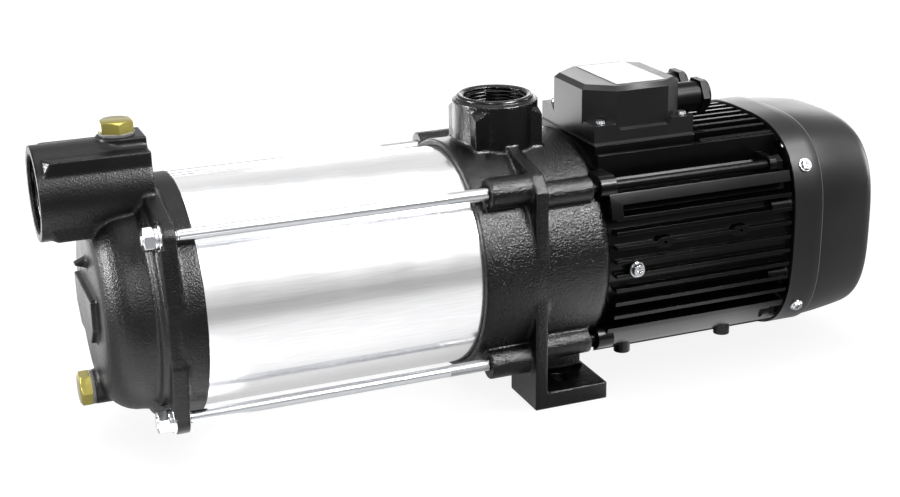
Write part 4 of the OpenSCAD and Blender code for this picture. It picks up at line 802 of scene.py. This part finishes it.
class PUMP_OT_tie_rods(bpy.types.Operator):
    """Makes the four tie rods with their rolled threads, and plates the nuts and washers"""
    bl_idname = "pump.tie_rods"
    bl_label = "Tie rods"

    def execute(self, context):
        settings = context.scene.pump_rods
        low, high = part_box("tie_rods")
        boss_x = high[0] - settings.hidden
        radius = settings.diameter / 2
        reach_y, reach_z = high[1] - radius, high[2] - SHAFT_Z - radius
        sides, steps = 28, 7
        rows = rod_rows(low[0], boss_x, settings, radius, sides, steps)
        points, faces = [], []
        for y in (-reach_y, reach_y):
            for z in (SHAFT_Z - reach_z, SHAFT_Z + reach_z):
                first = len(points)
                points += [(x, y + dy, z + dz) for row in rows for x, dy, dz in row]
                faces += [[first + i for i in face] for face in tube_faces(len(rows), sides)]
                faces.append([first + s for s in reversed(range(sides))])
                faces.append([first + (len(rows) - 1) * sides + s for s in range(sides)])
        rods = mesh_of("threaded_tie_rods", points, faces, 50.0)
        link("threaded_tie_rods", rods, material("Rod Zinc"),
             replaced=("tie_rods",))
        # The threaded ends take the zinc with painted shade in the grooves and painted highlights on the crests
        rods.materials.append(material("Rolled Thread Painted Shade"))
        shank = (low[0] + settings.front_thread, boss_x - settings.rear_thread)
        for face in rods.polygons:
            face.material_index = int(not shank[0] < face.center.x < shank[1])
        for node in ("tie_rod_nuts", "tie_rod_washers"):
            refine(node, node + "_plated", 0.3 * MM, "Zinc Plate")
        return {"FINISHED"}


class PUMP_OT_plugs(bpy.types.Operator):
    """Finishes the priming plug and the drain plug with their washers"""
    bl_idname = "pump.plugs"
    bl_label = "Plugs"

    def execute(self, context):
        for body in ("priming_plug", "drain_plug"):
            refine(body, body + "_brass", 0.35 * MM, "Brass", body)
            washer = body.replace("plug", "washer")
            refine(washer, washer + "_ring", 0.4 * MM, "White Nylon", body)
        return {"FINISHED"}


class PUMP_OT_motor(bpy.types.Operator):
    """Rounds the fins' edges and paints the housing, its bolts and its screws"""
    bl_idname = "pump.motor"
    bl_label = "Motor"

    def execute(self, context):
        refine("motor_housing", "finned_housing", context.scene.pump_motor.edge,
               "Housing Paint")
        refine("motor_bolts", "through_bolts", 0.4 * MM, "Black Steel")
        for node in ("cowl_screws", "earth_screw", "earth_washer"):
            refine(node, node + "_plated", 0.2 * MM, "Screw Zinc")
        paint_nodes("Shield Paint", "rear_end_shield")
        paint_nodes("Zinc Plate", "shield_screws")
        paint_nodes("Fan Plastic", "cooling_fan")
        paint_nodes("Shaft Steel", "fan_clip", "wave_spring")
        return {"FINISHED"}


def squared(half, angle, power=3.05):
    """Point of a rounded square with that half width, at an angle from its middle."""
    across, up = math.cos(angle), math.sin(angle)
    reach = half / (abs(across) ** power + abs(up) ** power) ** (1 / power)
    return reach * across, reach * up


def curve(first, second, third, fourth, steps):
    """Points of a cubic curve from its two ends and two handles, without the first one."""
    made = []
    for i in range(1, steps + 1):
        t = i / steps
        parts = ((1 - t) ** 3, 3 * t * (1 - t) ** 2, 3 * t * t * (1 - t), t ** 3)
        made.append(tuple(sum(part * point[k] for part, point in zip(
            parts, (first, second, third, fourth))) for k in (0, 1)))
    return made


def cowl_profile(length, half, seam):
    """Distance from the front edge and half width of the cowl, up to its flat rear face."""
    lip = 1.1 * MM
    shoulder = (length - 10 * MM, half - 4.8 * MM)
    rows = [(0.0, half), (0.35 * seam, half), (0.7 * seam, half), (seam - 0.7 * MM, half),
            (seam - 0.2 * MM, half - 0.15 * MM), (seam, half - 0.5 * MM), (seam, half - lip)]
    rows += curve((seam, half - lip), (seam + 12 * MM, half - 1.6 * MM),
                  (shoulder[0] - 12 * MM, shoulder[1] + 1.7 * MM), shoulder, 9)
    rows += curve(shoulder, (length - 3 * MM, half - 5.9 * MM), (length, half - 8 * MM),
                  (length, half - 16 * MM), 10)
    return rows


def spoke_angle(side, sides, radius, spokes, width):
    """Angle of a point of the grille, whose spokes keep the same width from the hub out."""
    per = sides // spokes
    turn = round(side / per)
    step = side - turn * per
    edge = min(math.asin(min(1.0, width / 2 / radius)), 0.8 * math.pi / spokes)
    share = abs(step)
    if share <= SPOKE_STEPS:
        angle = edge * share / SPOKE_STEPS
    else:
        angle = edge + (math.pi / spokes - edge) * (share - SPOKE_STEPS) / (
            per / 2 - SPOKE_STEPS)
    return 2 * math.pi * turn / spokes + math.copysign(angle, step)


class PUMP_OT_cowl(bpy.types.Operator):
    """Lofts the fan cowl with its seam, which has a painted highlight, its rounded rim and the ringed grille on
    its back
    """
    bl_idname = "pump.cowl"
    bl_label = "Fan cowl"

    def execute(self, context):
        settings = context.scene.pump_motor
        low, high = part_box("fan_cowl")
        sides, spokes = 192, settings.spokes
        points, slots = [], set()
        for x, half in cowl_profile(high[0] - low[0], high[1], settings.cowl_band):
            for side in range(sides):
                y, z = squared(half, 2 * math.pi * side / sides)
                points.append((low[0] + x, y, SHAFT_Z + z))
        rows = len(points) // sides
        grille, first_slot, slot_step, slot_width, hub = 57.0, 12.0, 7.6, 4.4, 7.0
        radii = [grille * MM]
        for ring in reversed(range(6)):
            inner = (first_slot + slot_step * ring) * MM
            slots.add(rows + len(radii))
            radii += [inner + slot_width * MM, inner]
        radii += [hub * MM, 2.0 * MM]
        for radius in radii:
            for side in range(sides):
                angle = spoke_angle(side, sides, radius, spokes, settings.spoke_width)
                points.append((high[0], radius * math.cos(angle),
                               SHAFT_Z + radius * math.sin(angle)))
        rows += len(radii)
        faces = []
        per = sides // spokes
        for index, face in enumerate(tube_faces(rows, sides)):
            row, side = divmod(index, sides)
            column = (side + per // 2) % per - per // 2
            if row not in slots or -SPOKE_STEPS <= column < SPOKE_STEPS:
                faces.append(face)
        faces.append([(rows - 1) * sides + side for side in range(sides)])
        mesh = mesh_of("moulded_cowl", points, faces, 40.0)
        made = after_modifiers(mesh, "moulded_cowl", [
            ("SOLIDIFY", {"thickness": settings.cowl_wall, "offset": -1.0}),
            ("BEVEL", bevel(0.3 * MM, 2, 50.0))])
        link("moulded_cowl", made, material("Cowl Plastic"),
             replaced=("fan_cowl",))
        seam = low[0] + settings.cowl_band
        # The faces of the seam's step that face the rear take a grey painted highlight line
        made.materials.append(material("Cowl Seam Painted Highlight"))
        for face in made.polygons:
            x, y, z = face.center
            if abs(x - seam) < 0.45 * MM and face.normal.x > 0.1:
                face.material_index = 1
        return {"FINISHED"}


class PUMP_OT_terminal_box(bpy.types.Operator):
    """Finishes the terminal box, its screws, its plate and the cable glands"""
    bl_idname = "pump.terminal_box"
    bl_label = "Terminal box"

    def execute(self, context):
        refine("terminal_cover", "terminal_cover_moulded", 0.7 * MM, "Box Plastic",
               segments=3)
        refine("terminal_cover_screws", "terminal_cover_screws_plated", 0.25 * MM, "Dark Zinc")
        for node in ("gland_bodies", "gland_nuts"):
            refine(node, node + "_moulded", 0.6 * MM, "Gland Plastic",
                   segments=3)
        refine("rating_plate", "blank_plate", 0.15 * MM, "Blank Plate")
        paint_nodes("Board Plastic", "terminal_board")
        return {"FINISHED"}


class PUMP_OT_inside(bpy.types.Operator):
    """Finishes the pieces inside the pump and the motor"""
    bl_idname = "pump.inside"
    bl_label = "Inside"

    def execute(self, context):
        stages = [f"{kind}_{i}" for kind in ("stage_casing", "impeller") for i in range(1, 6)]
        paint_nodes("Pressed Steel", "inlet_plate", "impeller_spacers", *stages)
        paint_nodes("Shaft Steel", "impeller_nut", "shaft", "impeller_key", "seal_spring")
        paint_nodes("Bearing Steel", *[f"{end}_bearing_{part}" for end in ("front", "rear")
                                       for part in ("outer", "inner", "balls")])
        paint_nodes("Seal Carbon", "seal_head")
        paint_nodes("Seal Ceramic", "seal_seat")
        paint_nodes("Core Steel", "rotor_core", "stator_core")
        paint_nodes("Winding Varnish", "stator_windings")
        return {"FINISHED"}


def area_lamp(name, place, target, size, energy, gloss_only):
    """A rectangular lamp aimed at its target, which the camera doesn't see."""
    lamp = bpy.data.lights.new(name, "AREA")
    lamp.shape = "RECTANGLE"
    lamp.size, lamp.size_y = size
    lamp.energy = energy
    holder = bpy.data.objects.new(name, lamp)
    holder.location = place
    holder.rotation_euler = (Vector(target) - Vector(place)).to_track_quat("-Z", "Y").to_euler()
    holder.visible_camera = False
    holder.visible_diffuse = not gloss_only
    bpy.context.scene.collection.objects.link(holder)


def grey_ramp(tree, share, low, high, ends, bands, interpolation="LINEAR"):
    """Grey over a share of the way from low to high, with values at its ends and between."""
    ramp = add(tree, "ShaderNodeValToRGB", {"Fac": share})
    ramp.color_ramp.interpolation = interpolation
    stops = ramp.color_ramp.elements
    for stop, grey in zip(stops, ends):
        stop.color = (grey, grey, grey, 1)
    for place, grey in bands:
        stops.new((place - low) / (high - low)).color = (grey, grey, grey, 1)
    return ramp.outputs["Color"]


def studio_world():
    """White to the camera. Metal sees a white room with two soft grey bands."""
    world = bpy.data.worlds.new("Studio")
    bpy.context.scene.world = world
    world.use_nodes = True
    tree = world.node_tree
    tree.nodes.clear()
    output = tree.nodes.new("ShaderNodeOutputWorld")
    way = add(tree, "ShaderNodeSeparateXYZ", {
        0: tree.nodes.new("ShaderNodeTexCoord").outputs["Generated"]})
    back = calc(tree, "MULTIPLY", way.outputs["Y"], -1.0)
    turn = calc(tree, "ARCTAN2", way.outputs["Z"], back)
    room = grey_ramp(tree, span(tree, turn, -math.pi, math.pi), -180, 180, (0.90, 0.90),
                     ROOM_BANDS, "EASE")
    ray = tree.nodes.new("ShaderNodeLightPath")
    glossy = add(tree, "ShaderNodeBackground", {"Color": room})
    soft = add(tree, "ShaderNodeBackground", {"Color": (1, 1, 1, 1), "Strength": 0.55})
    white = add(tree, "ShaderNodeBackground", {"Color": (1, 1, 1, 1), "Strength": 1.0})
    shine = add(tree, "ShaderNodeMixShader", {
        0: calc(tree, "MAXIMUM", ray.outputs["Is Glossy Ray"],
                ray.outputs["Is Transmission Ray"]),
        1: soft.outputs[0], 2: glossy.outputs[0]})
    seen = add(tree, "ShaderNodeMixShader", {
        0: ray.outputs["Is Camera Ray"], 1: shine.outputs[0], 2: white.outputs[0]})
    tree.links.new(seen.outputs[0], output.inputs[0])


def floor_material():
    """Pale floor that shows white, with the object's soft shadow kept; what mirrors it sees painted glows and a
    painted shadow.
    """
    made, tree, shader, place = blank_material("Pale Floor")
    grain = add(tree, "ShaderNodeTexNoise", {"Vector": place, "Scale": 40.0})
    tree.links.new(tint(tree, grain.outputs["Fac"], (0.24, 0.24, 0.24, 1),
                        (0.26, 0.26, 0.26, 1)), shader.inputs["Base Color"])
    shader.inputs["Roughness"].default_value = 0.9
    shader.inputs["Specular IOR Level"].default_value = 0.0
    shader.inputs["Emission Color"].default_value = (1, 1, 1, 1)
    # In what mirrors it, the floor's front fades into the darker room, and the floor under the object is dim with
    # a painted shadow. A painted glow stands as a lamp behind the left end, and another lies low in front of both
    # castings.
    spot = add(tree, "ShaderNodeSeparateXYZ", {0: place})
    x, y = spot.outputs["X"], spot.outputs["Y"]
    strip = grey_ramp(tree, span(tree, y, -0.5, 0.5), -0.5, 0.5, (0.27, 0.80), FLOOR_BANDS)
    # Painted glow behind the left end, seen only in what mirrors the floor
    behind = calc(tree, "MULTIPLY", span(tree, y, 0.10, 0.5, 0.0, 5.4),
                  calc(tree, "MULTIPLY", span(tree, x, 0.05, -0.15),
                       span(tree, x, -0.50, -0.25, 0.1)))
    # Painted glow low in front of both castings, seen only in what mirrors the floor
    near = calc(tree, "MULTIPLY", span(tree, y, -0.28, -0.20), span(tree, y, -0.03, -0.06))
    ends = calc(tree, "ADD", span(tree, x, -0.20, -0.24),
                calc(tree, "MULTIPLY", span(tree, x, 0.02, 0.05), span(tree, x, 0.19, 0.15)))
    front = calc(tree, "MULTIPLY", calc(tree, "MULTIPLY", near, ends), 3.6)
    # Painted reflection: the room's fade, the painted shadow under the object and both painted glows
    painted_floor_reflection = calc(tree, "ADD", calc(tree, "ADD", strip, behind), front)
    ray = tree.nodes.new("ShaderNodeLightPath")
    mirrored = calc(tree, "MULTIPLY", ray.outputs["Is Glossy Ray"], painted_floor_reflection)
    seen = calc(tree, "MULTIPLY", ray.outputs["Is Camera Ray"], 0.88)
    tree.links.new(calc(tree, "ADD", mirrored, seen), shader.inputs["Emission Strength"])
    return made


class PUMP_OT_stage(bpy.types.Operator):
    """Sets up the camera, the pale floor and the soft studio light"""
    bl_idname = "pump.stage"
    bl_label = "Stage"

    def execute(self, context):
        scene, settings = context.scene, context.scene.pump_stage
        turn, rise, roll = settings.azimuth, settings.elevation, settings.roll
        back = Vector((math.sin(turn) * math.cos(rise), -math.cos(turn) * math.cos(rise),
                       math.sin(rise)))
        right = Vector((math.cos(turn), math.sin(turn), 0))
        up = back.cross(right)
        side = right * math.cos(roll) + up * math.sin(roll)
        top = up * math.cos(roll) - right * math.sin(roll)
        camera = bpy.data.cameras.new("Camera")
        camera.sensor_width = 36.0
        camera.lens = settings.focal_pixels / PICTURE_WIDTH * camera.sensor_width
        holder = bpy.data.objects.new("Camera", camera)
        holder.matrix_world = Matrix.Translation(settings.camera_place) @ Matrix(
            (side, top, back)).transposed().to_4x4()
        scene.collection.objects.link(holder)
        scene.camera = holder
        size = 30.0  # Far enough for the floor to reach the picture's edges
        floor = bpy.data.meshes.new("floor")
        floor.from_pydata([(-size, -size, 0), (size, -size, 0), (size, size, 0),
                           (-size, size, 0)], [], [(0, 1, 2, 3)])
        floor.materials.append(floor_material())
        ground = bpy.data.objects.new("floor", floor)
        ground.location.z = -0.02 * MM
        scene.collection.objects.link(ground)
        studio_world()
        area_lamp("Overhead", (-0.25, 0.25, 1.6), MIDDLE, (1.5, 1.0), 14.0, False)
        for name, place, target, size, energy in SOFTBOXES:
            area_lamp(name, place, target, size, energy, True)
        scene.view_settings.view_transform = "Standard"
        return {"FINISHED"}


OPERATORS = (PUMP_OT_finishes, PUMP_OT_castings, PUMP_OT_ports, PUMP_OT_barrel,
             PUMP_OT_tie_rods, PUMP_OT_plugs, PUMP_OT_motor, PUMP_OT_cowl,
             PUMP_OT_terminal_box, PUMP_OT_inside, PUMP_OT_stage)


class PUMP_PT_sidebar(bpy.types.Panel):
    """Lists what builds the pump's looks"""
    bl_idname = "PUMP_PT_sidebar"
    bl_label = "Pump"
    bl_space_type = "VIEW_3D"
    bl_region_type = "UI"
    bl_category = "Pump"

    def draw(self, context):
        for operator in OPERATORS:
            self.layout.operator(operator.bl_idname)
        for holder in SETTINGS:
            box = self.layout.box()
            group_settings = getattr(context.scene, holder)
            for key in group_settings.bl_rna.properties.keys():
                if key not in ("rna_type", "name"):
                    box.prop(group_settings, key)


SETTINGS = {
    "pump_castings": CastingSettings, "pump_barrel": BarrelSettings, "pump_rods": RodSettings,
    "pump_ports": PortSettings, "pump_motor": MotorSettings, "pump_stage": StageSettings,
}
CLASSES = (*SETTINGS.values(), *OPERATORS, PUMP_PT_sidebar)


def register():
    for item in CLASSES:
        bpy.utils.register_class(item)
    for holder, kind in SETTINGS.items():
        setattr(bpy.types.Scene, holder, PointerProperty(type=kind))


def unregister():
    for holder in SETTINGS:
        delattr(bpy.types.Scene, holder)
    for item in reversed(CLASSES):
        bpy.utils.unregister_class(item)


def main():
    register()
    bpy.ops.pump.finishes()
    bpy.ops.pump.castings()
    bpy.ops.pump.ports()
    bpy.ops.pump.barrel()
    bpy.ops.pump.tie_rods()
    bpy.ops.pump.plugs()
    bpy.ops.pump.motor()
    bpy.ops.pump.cowl()
    bpy.ops.pump.terminal_box()
    bpy.ops.pump.inside()
    bpy.ops.pump.stage()


if __name__ == "__main__":
    main()
